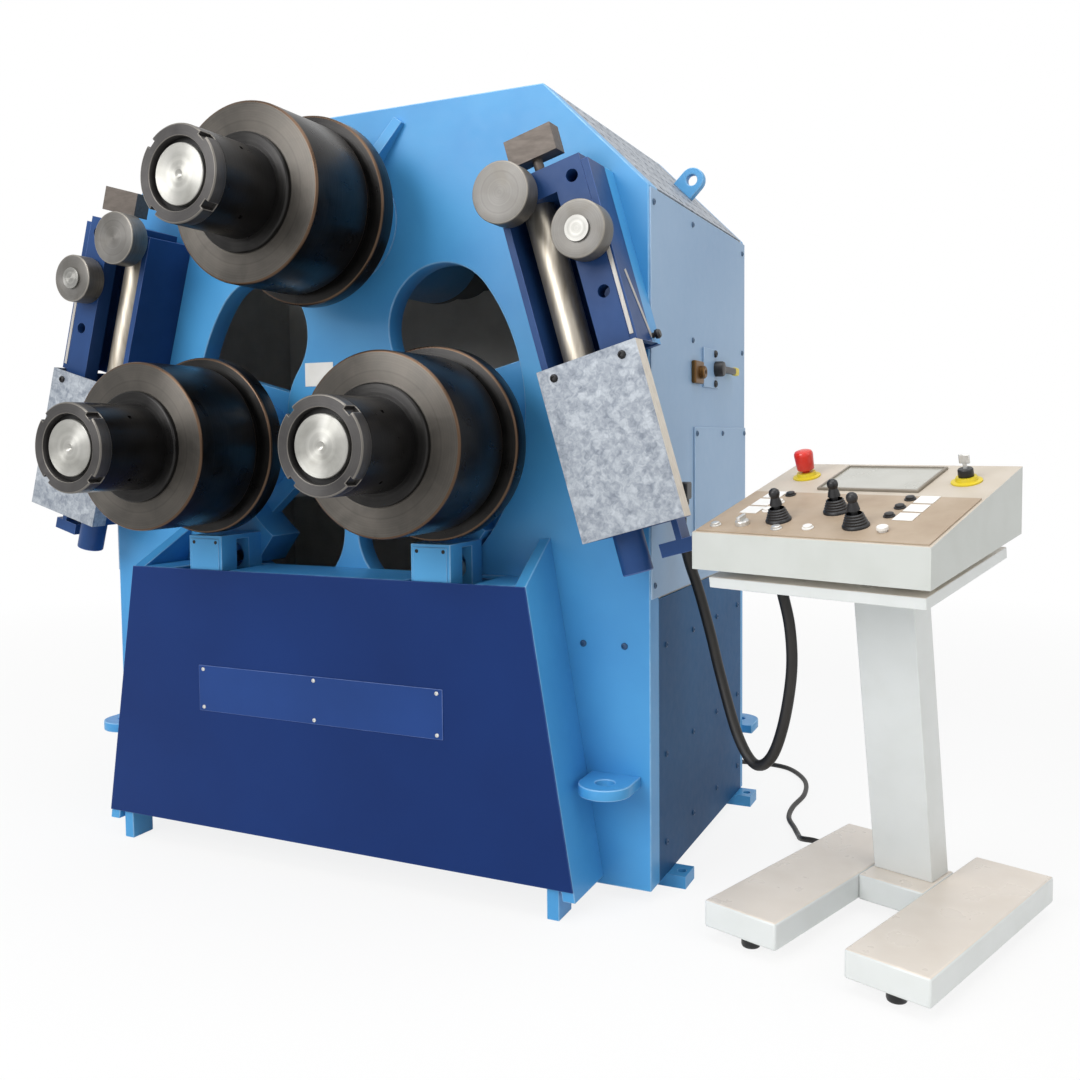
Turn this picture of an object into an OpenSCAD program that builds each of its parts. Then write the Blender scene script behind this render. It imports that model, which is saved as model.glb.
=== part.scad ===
// Angle roll bender: a hydraulic three-roll section bending machine.
// Two lower rolls swing on a shared pivot, two side guides slide on leaning beams,
// and a free-standing control desk is wired to the machine.
// Millimetres, +Z up. The origin is on the floor, at the centre of the four anchor holes.

/* [Frame] */
// Width of the front plate
plate_w = 1600; // [1500:10:1700]
// Width of the flat top of the front plate
top_w = 1096; // [1040:4:1150]
// Height of the flat top above the floor
plate_h = 1870; // [1840:2:1920]
// Distance below the flat top where the top corners start to slope
shoulder_drop = 252; // [220:2:280]
// Gap under the front plate
ground_gap = 30; // [20:1:40]
// Thickness of the front plate
plate_t = 60; // [50:1:70]
// Depth from the front face to the back face
body_d = 820; // [800:5:880]
// Thickness of the rear plate
rear_t = 25; // [16:1:30]
// Thickness of the floor plate between the front and rear plates
floor_t = 20; // [12:1:30]
// Thickness of the sheet covers
cover_t = 4; // [3:0.5:6]
// Distance of the seam between the side covers below the shared pivot
split_drop = 430; // [390:5:470]
// Diameter of the tie bars between the plates
tie_d = 50; // [40:1:60]

/* [Floor anchors] */
// Distance of the front anchor holes behind the front face
anchor_first = 150; // [130:5:170]
// Distance of the rear anchor holes in front of the back face
anchor_back = 50; // [40:5:70]
// Distance of an anchor hole outside the front plate's edge
anchor_out = 25; // [22:1:30]
// Diameter of an anchor hole
anchor_d = 22; // [18:1:26]
// Width of an anchor foot
foot_w = 70; // [60:1:90]

/* [Rolls] */
// Distance of the top roll's axis below the flat top
top_axis_drop = 266; // [250:1:274]
// Diameter of the rear flange of a roll
flange_d = 442; // [430:1:444]
// Diameter of the working face of a roll
roll_d = 396; // [380:1:400]
// Diameter of the groove in front of the flange
groove_d = 370; // [350:1:376]
// Diameter of the collar on a roll's front face
collar_d = 260; // [230:1:280]
// Diameter of the spacer sleeve and of the lock nut
sleeve_d = 200; // [190:1:215]
// Diameter of the shaft in the rolls
shaft_d = 150; // [140:1:156]
// Diameter of the shaft in the bearings
journal_d = 160; // [158:1:170]
// Diameter of the shaft's end disc
end_d = 126; // [120:1:132]
// Outer diameter of a roll bearing
bearing_d = 250; // [240:1:260]
// Width of a roll bearing
bearing_w = 70; // [60:1:80]

/* [Roll positions along the shaft] */
// Distance of the shaft's shoulder in front of the plate
seat_out = 75; // [72:1:80]
// Thickness of the roll's hub behind the flange
hub_t = 45; // [40:1:50]
// Thickness of the rear flange
flange_t = 46; // [40:1:50]
// Width of the groove
groove_t = 24; // [18:1:28]
// Width of the working face
face_t = 191; // [180:1:200]
// Height of the collar
collar_t = 12; // [8:1:16]
// Length of the spacer sleeve
sleeve_t = 154; // [140:1:160]
// Thickness of the lock nut
nut_t = 32; // [26:1:36]

/* [Swing arms] */
// Distance of the shared pivot below the flat top
pivot_drop = 740; // [734:1:744]
// Distance from the pivot to a lower roll's axis
swing_r = 343; // [340:1:346]
// Angle of the lower rolls at rest, against the horizontal
rest_angle = -13; // [-14:0.5:-12]
// Angle that an arm covers on each side of its roll
arm_half_angle = 28; // [24:1:30]
// Diameter of the pivot pin
pivot_d = 120; // [110:1:124]
// Outer diameter of an arm's bearing tube
tube_d = 300; // [290:2:304]
// Diameter of the tube's nose through the front plate
nose_d = 236; // [220:2:240]
// Thickness of an arm's face plate
arm_t = 40; // [30:1:50]
// Depth behind the bearing tubes for the drives
drive_room = 380; // [360:5:390]
// Width of the swing slots in the front plate
slot_w = 300; // [290:2:304]
// Angle of the upper end of a swing slot
slot_high = 37; // [36:0.5:39]
// Angle of the lower end of a swing slot
slot_low = -60; // [-61:0.5:-58]

/* [Lift cylinders] */
// Distance of the lug's pin hole from the machine's middle
lug_x = 330; // [326:1:334]
// Distance of the lug's pin hole below the shared pivot at rest
lug_drop = 362; // [360:1:366]
// Width of the lug
lug_w = 104; // [100:1:110]
// Angle of the cylinder against the horizontal
cyl_angle = 64.5; // [64:0.25:65]
// Diameter of the cylinder barrel
cyl_d = 96; // [90:1:100]
// Diameter of the piston rod
rod_d = 40; // [34:1:44]

/* [Front cover] */
// Width of the cover at its top
panel_top_w = 1143; // [1110:5:1170]
// Width of the cover at its bottom
panel_low_w = 1360; // [1330:5:1380]
// Distance of the cover's top edge below the shared pivot
panel_drop = 390; // [386:1:396]
// Height of the cover's bottom edge
panel_low = 74; // [66:1:90]
// Distance of the cover's front in front of the plate
panel_out = 172; // [170:1:180]
// Thickness of the gussets at the cover's sides
gusset_t = 30; // [24:1:36]

/* [Side guides] */
// Lean of the guide beams
guide_lean = 16; // [15:0.5:17]
// Distance of a beam's middle from the machine's middle
guide_x = 770; // [765:1:780]
// Distance of the middle of a beam's cover plate below the shared pivot
guide_drop = 77; // [70:1:85]
// Width of a guide beam
beam_w = 228; // [222:1:240]
// Depth of a guide beam
beam_d = 172; // [168:1:176]
// Thickness of a beam's walls
beam_t = 16; // [12:1:18]
// Length of a beam above the cover's middle
beam_up = 590; // [570:5:610]
// Height of a beam's cover plate
guard_h = 380; // [370:2:390]
// Diameter of a guide's plain roller
guide_roller_d = 132; // [128:1:140]
// Diameter of a guide's roller with a hub
hub_roller_d = 122; // [116:1:130]
// Width of the guide rollers
guide_roller_w = 52; // [46:1:56]
// Diameter of the guide rollers' pins
guide_pin_d = 40; // [36:1:44]
// Distance between the spare holes and the outer roller
guide_pitch = 128; // [122:1:134]
// Diameter of the spare holes
spare_d = 28; // [24:1:32]
// Diameter of the guide cylinder's rod
guide_rod_d = 72; // [68:1:76]
// Diameter of the guide cylinder's barrel
guide_cyl_d = 96; // [92:1:100]
// Diameter of the cylinder's lower end below the cover plate
guide_tail_d = 68; // [60:1:76]

/* [Control desk] */
// Distance of the stand's front from the machine's middle
desk_x = 1191.4; // [1180:1:1230]
// Distance of the stand's front in front of the front plate
desk_y = 196.5; // [180:1:210]
// Turn of the desk toward the operator
desk_turn = -19.13; // [-21:0.25:-18]
// Width of the stand
stand_w = 494; // [470:2:510]
// Length of the stand's feet
stand_l = 620; // [600:5:640]
// Width of one foot of the stand
stand_foot_w = 172; // [160:1:180]
// Thickness of the stand
stand_t = 58; // [50:1:64]
// Height of the stand's glides
glide_h = 30; // [26:1:36]
// Width of the column
column_w = 135; // [125:1:145]
// Depth of the column
column_t = 80; // [70:1:88]
// Width of the desk
desk_w = 506; // [496:2:530]
// Depth of the desk
desk_d = 414.5; // [405:0.5:425]
// Height of the desk's front lower edge
desk_low = 793; // [785:1:805]
// Height of the desk's front face
desk_front = 76; // [70:1:84]
// Height of the desk's back face
desk_back = 135; // [128:1:140]
// Lean of the column and of the desk's underside
desk_lean = 9.7; // [9:0.1:10.5]
// Wall of the desk
desk_wall = 4; // [3:0.5:5]

/* [Cables] */
// Diameter of the cable between the machine and the desk
trunk_d = 25; // [20:1:28]
// Diameter of the cable on the floor
floor_cable_d = 14; // [12:1:16]

/* [Fits] */
// Radial gap of seats that don't turn
seat_fit = 0.05; // [0.03:0.01:0.08]
// Radial gap of pins and journals that turn
run_fit = 0.05; // [0.03:0.01:0.08]
// Gap between parts that pass each other
pass_gap = 2; // [1.5:0.5:3]
// Gap between pieces that are bolted face to face
joint_gap = 0.1; // [0.05:0.05:0.2]

/* [Hidden] */
$fn = 48;
piston_gap = 0.3;
stem_gap = 0.3;
end_play = 0.3;

paint_blue = "#4a97d3";
deep_blue = "#2a3f82";
cover_blue = "#8aa6c1";
zinc = "#b9bfc9";
steel = "#8c8f94";
roll_steel = "#4a4845";
black = "#1a1a1c";
cream = "#e3e2dc";

// Frame
half_w = plate_w / 2;
shoulder_h = plate_h - shoulder_drop;
top_axis_h = plate_h - top_axis_drop;
pivot_h = plate_h - pivot_drop;
panel_top = pivot_h - panel_drop;
cover_split = pivot_h - split_drop;
anchor_pitch = body_d - anchor_back - anchor_first;
anchor_edge = 20;
face_y = -(anchor_first + anchor_pitch / 2);
slope_angle = atan2(plate_h - shoulder_h, half_w - top_w / 2);
slope_l = norm([plate_h - shoulder_h, half_w - top_w / 2]);
inner_back = body_d - rear_t;
outside = half_w + cover_t;
access_front = 318;
access_low = cover_split + 20;
access_high = pivot_h - 42;
access_middle = (access_front + body_d) / 2;
floor_top = ground_gap + floor_t;
cover_seam = 6;
tie_low = [half_w - 160, ground_gap + 220];
tie_high = [top_w / 2 - 28, plate_h - 110];
lug_plate_t = 25;
eye_y = body_d - 220;
tank_front = 150;
tank_back = body_d - 120;
tank_d = tank_back - tank_front;
tank_top = 0.354 * pivot_h;

// Rolls, from the shoulder on the shaft forward
hub_front = seat_out + hub_t;
flange_front = hub_front + flange_t;
groove_front = flange_front + groove_t;
face_front = groove_front + face_t;
collar_front = face_front + collar_t;
sleeve_front = collar_front + sleeve_t;
nut_front = sleeve_front + nut_t;
thread_short = 17;
end_short = 5;
edge = 5;
shoulder_t = 23;
shoulder_d = 220;
tail_d = 120;
tail_l = 100;

// Bearing tubes and drives
tube_l = body_d - drive_room;
nose_out = seat_out - shoulder_t - 3;
lip_t = 12;
arm_y = plate_t + pass_gap;
bore_y = arm_y + lip_t;
seal_gap = 4;
drive_flange_t = 25;
gearbox_l = 170;
gearbox_d = 240;
motor_l = 310;
motor_d = 156;

// Swing arms
slot_in = swing_r - slot_w / 2;
slot_out = swing_r + slot_w / 2;
arm_in = 130;
arm_out = 520;
hub_r = 110;
web_half = 80;
knuckle_l = (tube_l - arm_y - 58) / 4;
knuckle_gap = 4;
right_knuckles = [[arm_y, arm_y + knuckle_l], [arm_y + 3 * knuckle_l, arm_y + 4 * knuckle_l]];
left_knuckles = [[arm_y + knuckle_l + knuckle_gap, arm_y + 3 * knuckle_l - knuckle_gap]];
neck_in = slot_out - 98;
neck_out = slot_out - 8;
neck_low = -53;
neck_high = -36;

// Front cover
gusset_angle = atan2((panel_low_w - panel_top_w) / 2, panel_top - panel_low);
gusset_front = -(panel_out - cover_t);
gusset_rise = 95;
tie_front_z = 270;
tie_rear_z = 190;
tie_r = 60;
tie_gap = 8;
tie_front_x = panel_top_w / 2 + (panel_top - tie_front_z) * tan(gusset_angle) + tie_gap + tie_r;
tie_rear_x = half_w - 32;
shelf_t = 12;
slot_edge = 20;

// Lift lugs and cylinders
lug_z = pivot_h - lug_drop;
lug_top = lug_z + 58;
lug_low = lug_z - 53;
lug_back = -12;
lug_clear = 3;
lug_front = gusset_front + lug_clear;
lift_y = -85;
fork_gap = 46;
lift_pin_r = 14;
lift_pin_free = 20;
lug_bridge = 12;
rod_offset = 16.5;
rod_eye_r = 24;
rod_eye_t = 34;
barrel_top = -80;
barrel_low = -490;
piston_t = 36;
piston_low = -460;
bore_wall = 10;
mount_low = -520;
mount_l = 90;

// Side guides, across the beam, along it and out from the plate
guide_z = pivot_h - guide_drop;
roller_lane = 70;
roller_v = 438;
plain_u = -68;
plain_v = 568;
leg_w = 84;
leg_low = 40;
leg_front = -150;
leg_t = 42;
head_low = 546;
head_h = 60;
head_u = -88;
head_back = -30;
cyl_u = -42;
cyl_y = -95;
cyl_low = -185;
cyl_high = 185;
tail_low = -280;
cyl_wall = 8;
roller_gap = 5;
plain_out = 23;
guard_t = 3;
guard_flange = 42;
channel_t = 20;
rail_d = -leg_front;
low_wall_u = 58;
low_wall_d = -leg_front - leg_t - 8;
pad_w = 113;
pad_h = 60;
pad_t = 45;
pad_gap = 24;
pad_over = 10;
slide_gap = 0.5;
roller_cap = 8.7;

// Control desk
stand_half = stand_w / 2;
foot_in = stand_half - stand_foot_w;
bar_front = 343;
bar_l = 157;
stand_top = glide_h + stand_t;
desk_front_v = -34;
desk_rise = desk_d * tan(desk_lean);
top_angle = atan2(desk_rise + desk_back - desk_front, desk_d);
column_v = bar_front + 62;
plate_front = 25;
plate_drop = 22;
column_plate_w = 464;
column_plate_t = 23;
spacer_w = 300;
spacer_inset = 50;
panel_t = 3;
panel_l = 240;
panel_margin = 6;
rim = 14;
boss = [-190, 200];
boss_r = 24;
boss_low = 815;

// Controls: across the desk and up its slope
e_stop_at = [-181, 346];
key_at = [180, 336];
joysticks = [[-95, 79], [0, 140], [77, 70]];
start_at = [139, 53];
selector_at = [-160, 47];
fixed_buttons = [[-217, 35], [-12, 47], [-188, 149], [-190, 203], [118, 138], [115, 190]];
screen_at = [0, 338];
screen_w = 224;
screen_l = 146;
screen_t = 6;
stem_r = 8;
lever_r = 6;
ball_r = 13.7;
ball_gap = 0.3;
boot_h = 26;
boot_r = 26;
boot_top_r = 18;
boot_bore_r = 15;
ring_h = 12;
ring_r = 30;
button_r = 11;
button_h = 7;
stem_below = 8;

// Main switch on the right side
switch_y = 497;
switch_z = pivot_h + 110;
switch_plate_t = 6;
switch_stem_r = 10;
lever_l = 168;

// Cable glands and routes
trunk_exit = [half_w + cover_t + 31, 118, 895];
gland_l = 25;
trunk_box = 40;
rear_exit = [620, 150];
stand_gland_v = 520;
end_gap = 0.2;
trunk_route = [
    trunk_exit - [0, 0, end_gap], trunk_exit - [0, 0, 20], [836, 120, 845], [848, 136, 775],
    [866, 158, 700], [890, 170, 600], [915, 170, 500], [962, 142, 375],
    [1008, 116, 320], [1050, 95, 345], [1082, 76, 430], [1102, 62, 550], [1099, 56, 650],
    [1080, 54.8, 738], [1077.4, 54.7, 769], [1077.4, 54.7, 789.7]
];
floor_route = [
    [rear_exit[0], body_d + gland_l + end_gap, rear_exit[1]],
    [rear_exit[0], body_d + gland_l + 20, rear_exit[1]],
    [622, 905, 145], [630, 975, 105], [655, 1050, 48], [700, 1102, 17],
    [745, 1126, 9], [800, 1136, 8], [878, 1110, 8], [945, 1010, 8], [969, 885, 8],
    [961, 760, 8], [969, 670, 8], [1000, 594, 9], [1028, 515, 18], [1044, 450, 38],
    [1062, 404, 54], [1085.8, 390.5, 58.8], [1104.6, 383.97, 59]
];

// Places the machine so that the anchor holes' centre is the origin
module at_face() {
    translate([0, face_y, 0])
        children();
}

// Repeats a right-hand piece on the left
module both_sides() {
    children();
    mirror([1, 0, 0])
        children();
}

// Round bar along the depth
module y_rod(r, y0, y1, x = 0, z = 0) {
    translate([x, y0, z])
        rotate([-90, 0, 0])
            cylinder(r = r, h = y1 - y0);
}

// Outline in the front view, given a depth
module y_prism(y0, y1) {
    translate([0, y1, 0])
        rotate([90, 0, 0])
            linear_extrude(height = y1 - y0)
                children();
}

// Box between two corners
module box(low, high) {
    translate(low)
        cube(high - low);
}

// Profile turned about an axis along the depth, given as radius and distance forward
module turned(profile) {
    rotate([90, 0, 0])
        rotate_extrude()
            polygon(profile);
}

function ray(r, a) = [r * cos(a), r * sin(a)];

// Ring sector about the origin in the front view
module sector(r_in, r_out, low, high) {
    middle = (low + high) / 2;
    difference() {
        intersection() {
            circle(r = r_out, $fn = 96);
            polygon([[0, 0], ray(3 * r_out, low), ray(3 * r_out, middle), ray(3 * r_out, high)]);
        }
        circle(r = r_in, $fn = 96);
    }
}

module plate_outline() {
    polygon([
        [-half_w, ground_gap], [half_w, ground_gap], [half_w, shoulder_h],
        [top_w / 2, plate_h], [-top_w / 2, plate_h], [-half_w, shoulder_h]
    ]);
}

// Opening that a lower roll's nose and lug swing in
module swing_slot() {
    translate([0, pivot_h]) {
        sector(slot_in, slot_out, slot_low, slot_high);
        for (a = [slot_low, slot_high])
            translate(ray(swing_r, a))
                circle(r = slot_w / 2);
    }
}

module front_plate() {
    color(paint_blue)
        at_face()
            difference() {
                y_prism(0, plate_t)
                    difference() {
                        plate_outline();
                        swing_slot();
                        mirror([1, 0, 0])
                            swing_slot();
                    }
                y_rod(tube_d / 2 + seat_fit, -1, plate_t + 1, 0, top_axis_h);
                y_rod(pivot_d / 2 + seat_fit, -1, plate_t + 1, 0, pivot_h);
            }
}

module rear_plate() {
    color(paint_blue)
        at_face()
            difference() {
                y_prism(inner_back, body_d)
                    plate_outline();
                y_rod(pivot_d / 2 + seat_fit, inner_back - 1, body_d + 1, 0, pivot_h);
            }
}

// Foot with its anchor hole, under the floor plate
module anchor_foot(y) {
    difference() {
        box([half_w - 110, y - foot_w / 2, 0],
            [half_w + anchor_out + anchor_edge, y + foot_w / 2, ground_gap]);
        translate([half_w + anchor_out, y, -1])
            cylinder(d = anchor_d, h = ground_gap + 2);
    }
}

module base_frame() {
    color(paint_blue)
        at_face() {
            union() {
                box([cover_t - half_w, plate_t, ground_gap], [half_w - cover_t, inner_back, floor_top]);
                both_sides()
                    for (i = [0, 1])
                        anchor_foot(anchor_first + i * anchor_pitch);
            }
            both_sides()
                for (p = [tie_low, tie_high])
                    y_rod(tie_d / 2, plate_t, inner_back, p[0], p[1]);
        }
}

// Lower sheet between the plates and upper sheet over their edges
module side_sheets() {
    box([half_w - cover_t, plate_t, ground_gap + 1], [half_w, inner_back, cover_split - cover_seam]);
    box([half_w, 2, cover_split], [half_w + cover_t, body_d, shoulder_h - cover_seam]);
}

module left_side_cover() {
    color(cover_blue)
        at_face()
            mirror([1, 0, 0])
                side_sheets();
}

module right_side_cover() {
    plate_fore = 105;
    plate_aft = 35;
    switch_half = 50;
    color(cover_blue)
        at_face() {
            box([outside + joint_gap, access_front, access_low],
                [outside + cover_t + joint_gap, body_d - cover_t, access_high]);
            difference() {
                union() {
                    side_sheets();
                    box([outside + joint_gap, switch_y - plate_fore, switch_z - switch_half],
                        [outside + switch_plate_t, switch_y + plate_aft, switch_z + switch_half]);
                }
                translate([half_w - 1, switch_y, switch_z])
                    rotate([0, 90, 0])
                        cylinder(r = switch_stem_r + run_fit, h = 4 * cover_t);
            }
        }
}

module roof_cover() {
    color(paint_blue)
        at_face()
            box([-top_w / 2, plate_t, plate_h - cover_t], [top_w / 2, inner_back, plate_h]);
}

// Frame of the right slope: along the slope, along the depth and out from it
module on_slope() {
    translate([top_w / 2, 0, plate_h])
        rotate([0, slope_angle, 0])
            children();
}

module slope_grilles() {
    hole_rows = 6;
    hole_columns = 14;
    hole_d = 16;
    row_edge = 30;
    column_edge = 40;
    first_y = plate_t + column_edge;
    row_pitch = (slope_l - 2 * row_edge) / (hole_rows - 1);
    column_pitch = (inner_back - plate_t - 2 * column_edge) / (hole_columns - 1);
    color(zinc)
        at_face()
            both_sides()
                on_slope()
                    difference() {
                        box([2 * cover_t, plate_t, -cover_t], [slope_l - cover_t, inner_back, 0]);
                        for (i = [0:hole_rows - 1], j = [0:hole_columns - 1])
                            translate([row_edge + i * row_pitch, first_y + j * column_pitch, -2 * cover_t])
                                cylinder(d = hole_d, h = 3 * cover_t, $fn = 16);
                    }
}

// Flat tie-down lug with a rounded end and an upright hole
module tie_down(x, z) {
    reach = 70;
    hole_r = 22;
    difference() {
        union() {
            translate([x, -reach, z])
                cylinder(r = tie_r, h = lug_plate_t);
            box([x - tie_r, -reach, z], [x + tie_r, 0, z + lug_plate_t]);
        }
        translate([x, -reach, z - 1])
            cylinder(r = hole_r, h = lug_plate_t + 2);
    }
}

// Lifting eye on the slope, with its plate across the depth
module lifting_eye() {
    eye_r = 33;
    hole_r = 15;
    eye_h = 40;
    rotate([90, 0, 0])
        linear_extrude(height = lug_plate_t)
            difference() {
                union() {
                    translate([0, eye_h])
                        circle(r = eye_r);
                    translate([-eye_r, 0])
                        square([2 * eye_r, eye_h]);
                }
                translate([0, eye_h])
                    circle(r = hole_r);
            }
}

module lifting_lugs() {
    eye_along = 0.56 * slope_l;
    color(paint_blue)
        at_face()
            both_sides() {
                on_slope()
                    translate([eye_along, eye_y + lug_plate_t / 2, 0])
                        lifting_eye();
                tie_down(tie_front_x, tie_front_z);
                translate([0, body_d, 0])
                    mirror([0, 1, 0])
                        tie_down(tie_rear_x, tie_rear_z);
            }
}

module front_gussets() {
    foot_y = gusset_front + 8;
    foot_l = 70;
    foot_t = 30;
    foot_x = panel_top_w / 2 + 40;
    web_t = 14;
    web_low = panel_low + 4;
    web_end = panel_top_w / 2 + (panel_top - web_low) * tan(gusset_angle) - gusset_t / 2;
    gusset_low = panel_low - 24;
    tail = panel_top + 60;
    color(paint_blue)
        at_face()
            both_sides() {
                difference() {
                    translate([panel_top_w / 2, 0, panel_top])
                        rotate([0, -gusset_angle, 0])
                            translate([-gusset_t, 0, 0])
                                rotate([90, 0, 90])
                                    linear_extrude(height = gusset_t)
                                        polygon([
                                            [gusset_front, -tail], [0, -tail],
                                            [0, gusset_rise], [gusset_front, 0]
                                        ]);
                    box([0, -panel_out - 1, -100], [half_w, 1, gusset_low]);
                }
                box([foot_x, foot_y, 0], [foot_x + foot_t, foot_y + foot_l, web_low + web_t + 2]);
                box([foot_x + 1, foot_y + 4, web_low], [web_end, foot_y + foot_l - 4, web_low + web_t]);
            }
}

module front_shelf() {
    edge_x = panel_top_w / 2 - gusset_t / cos(gusset_angle) - pass_gap;
    color(paint_blue)
        at_face()
            difference() {
                box([-edge_x, gusset_front, panel_top - shelf_t], [edge_x, 0, panel_top]);
                both_sides()
                    box([lug_x - lug_w / 2 - slot_edge, gusset_front - 1, panel_top - shelf_t - 1],
                        [lug_x + lug_w / 2 + 3 * slot_edge, lug_back + 4, panel_top + 1]);
            }
}

module front_cover() {
    color(deep_blue)
        at_face()
            y_prism(-panel_out, gusset_front)
                polygon([
                    [-panel_low_w / 2, panel_low], [panel_low_w / 2, panel_low],
                    [panel_top_w / 2, panel_top], [-panel_top_w / 2, panel_top]
                ]);
}

// Screw head on a face that looks along +X
module side_screw(x, y, z) {
    head_d = 14;
    head_t = 4;
    translate([x, y, z])
        rotate([0, 90, 0])
            cylinder(d = head_d, h = head_t, $fn = 24);
}

module cover_screws() {
    upper_rows = [pivot_h + 171, shoulder_h - 36];
    front_rows = [cover_split + 30, pivot_h - 130];
    lower_rows = [110, 320, cover_split - 120];
    lower_first = plate_t + 50;
    lower_pitch = (inner_back - 40 - lower_first) / 3;
    guard_screw_u = beam_w / 2 - 34;
    access_rows = [access_low + 16, access_high - 16];
    guard_screw_r = 9;
    guard_screw_t = 5;
    color(steel)
        at_face() {
            both_sides() {
                for (y = [20, 312, body_d - 30], z = upper_rows)
                    side_screw(outside, y, z);
                for (z = front_rows)
                    side_screw(outside, 20, z);
                for (i = [0:3], z = lower_rows)
                    side_screw(half_w, lower_first + i * lower_pitch, z);
                on_guide()
                    for (u = [-guard_screw_u, guard_screw_u])
                        y_rod(guard_screw_r, -beam_d - guard_t - guard_screw_t, -beam_d - guard_t,
                            u, guard_h / 2 - 24);
            }
            for (y = [access_front + 16, access_middle, body_d - 20], z = access_rows)
                side_screw(outside + cover_t + joint_gap, y, z);
        }
}

// Bearing tube with its nose through the front plate, bored for two bearings
module tube_solid(y0) {
    y_rod(tube_d / 2, y0, tube_l);
    y_rod(nose_d / 2, -nose_out, y0 + 1);
}

module tube_bores() {
    y_rod(bearing_d / 2 + seat_fit, bore_y, tube_l + 1);
    y_rod(journal_d / 2 + seal_gap, -nose_out - 1, tube_l + 1);
}

module tube_bearings() {
    for (y = [bore_y, tube_l - bearing_w])
        difference() {
            y_rod(bearing_d / 2, y, y + bearing_w);
            y_rod(journal_d / 2 + run_fit, y - 1, y + bearing_w + 1);
        }
}

// Planetary gearbox and hydraulic motor on the rear end of a tube
module gearmotor() {
    difference() {
        union() {
            y_rod(tube_d / 2, tube_l, tube_l + drive_flange_t);
            y_rod(gearbox_d / 2, tube_l, tube_l + gearbox_l);
        }
        y_rod(tail_d / 2 + stem_gap, tube_l - 1, tube_l + tail_l + 2);
    }
    y_rod(motor_d / 2, tube_l + gearbox_l + joint_gap, tube_l + motor_l);
}

module on_top_axis() {
    translate([0, 0, top_axis_h])
        children();
}

module top_housing() {
    rib_angle = 54;
    rib_out = 285;
    rib_t = 26;
    rib_end = 14;
    rib_in = nose_d / 2 - 6;
    color(paint_blue)
        at_face()
            on_top_axis()
                difference() {
                    union() {
                        tube_solid(0);
                        for (a = [rib_angle, 180 - rib_angle])
                            rotate([0, -a, 0])
                                translate([0, 0, -rib_t / 2])
                                    linear_extrude(height = rib_t)
                                        polygon([
                                            [rib_in, -nose_out], [rib_in, 0],
                                            [rib_out, 0], [rib_out, -rib_end]
                                        ]);
                    }
                    tube_bores();
                }
}

module top_bearings() {
    color(steel)
        at_face()
            on_top_axis()
                tube_bearings();
}

module top_gearmotor() {
    color(black)
        at_face()
            on_top_axis()
                gearmotor();
}

module pivot_pin() {
    head_t = 14;
    head_over = 25;
    color(steel)
        at_face()
            translate([0, 0, pivot_h]) {
                y_rod(pivot_d / 2, -head_t, body_d);
                y_rod(pivot_d / 2 + head_over, -head_t, 0);
            }
}

module oil_tank() {
    half = 330;
    wall = 6;
    filler = [half - 80, tank_back - 100];
    filler_r = 30;
    color(deep_blue)
        at_face()
            difference() {
                box([-half, tank_front, floor_top], [half, tank_back, tank_top]);
                box([wall - half, tank_front + wall, floor_top + wall],
                    [half - wall, tank_back - wall, tank_top - wall]);
                translate([filler[0], filler[1], tank_top - 2 * wall])
                    cylinder(r = filler_r, h = 3 * wall);
            }
}

// Round casing along X on the pump's axis
module pump_casing(r, x0, x1) {
    translate([x0, tank_front + tank_d / 3, tank_top + tank_d / 5 + 15])
        rotate([0, 90, 0])
            cylinder(r = r, h = x1 - x0);
}

// Electric motor with its feet, pump, and valve block with its valves, on the tank's lid
module pump_unit() {
    motor_r = tank_d / 5;
    pump_r = 0.7 * motor_r;
    foot_half = 0.8 * motor_r;
    pump_y = tank_front + tank_d / 3;
    block_front = tank_back - tank_d / 3;
    block_back = tank_back - tank_d / 9;
    block_h = 110;
    valve_pitch = 95;
    valve_over = 20;
    color(black)
        at_face() {
            pump_casing(motor_r, -260, 70);
            box([-220, pump_y - foot_half, tank_top], [30, pump_y + foot_half, tank_top + 25]);
            pump_casing(pump_r, 70 + joint_gap, 260);
            box([-250, block_front, tank_top], [50, block_back, tank_top + block_h]);
            for (i = [0:2])
                box([-230 + i * valve_pitch, block_front - valve_over, tank_top + block_h + joint_gap],
                    [-160 + i * valve_pitch, block_back + valve_over, tank_top + block_h + 70]);
        }
}

// Frame of the right swing arm: the roll's axis lies at swing_r along +X
module on_arm() {
    translate([0, 0, pivot_h])
        rotate([0, -rest_angle, 0])
            children();
}

// Right arm in its own frame, with knuckles at the given depths
module arm_solid(knuckles) {
    difference() {
        union() {
            translate([swing_r, 0, 0])
                tube_solid(arm_y);
            y_prism(arm_y, arm_y + arm_t)
                sector(arm_in, arm_out, -arm_half_angle, arm_half_angle);
            for (k = knuckles) {
                y_rod(hub_r, k[0], k[1]);
                box([0, k[0], -web_half], [swing_r - nose_d / 2, k[1], web_half]);
            }
            rotate([0, rest_angle, 0]) {
                y_prism(lug_back - 2, arm_y + arm_t)
                    sector(neck_in, neck_out, neck_low, neck_high);
                translate([0, 0, -pivot_h])
                    box([lug_x - lug_w / 2, lug_front, lug_low], [lug_x + lug_w / 2, lug_back, lug_top]);
            }
        }
        translate([swing_r, 0, 0])
            tube_bores();
        y_rod(pivot_d / 2 + run_fit, arm_y - 1, tube_l);
        rotate([0, rest_angle, 0])
            translate([0, 0, -pivot_h]) {
                box([lug_x - lug_w, lift_y - fork_gap / 2, lug_low - 1],
                    [lug_x + lug_w, lift_y + fork_gap / 2, lug_top - lug_bridge]);
                y_rod(lift_pin_r + lift_pin_free, lug_front - 1, lug_back + 3, lug_x, lug_z);
            }
    }
}

module right_arm() {
    color(paint_blue)
        at_face()
            on_arm()
                arm_solid(right_knuckles);
}

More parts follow.
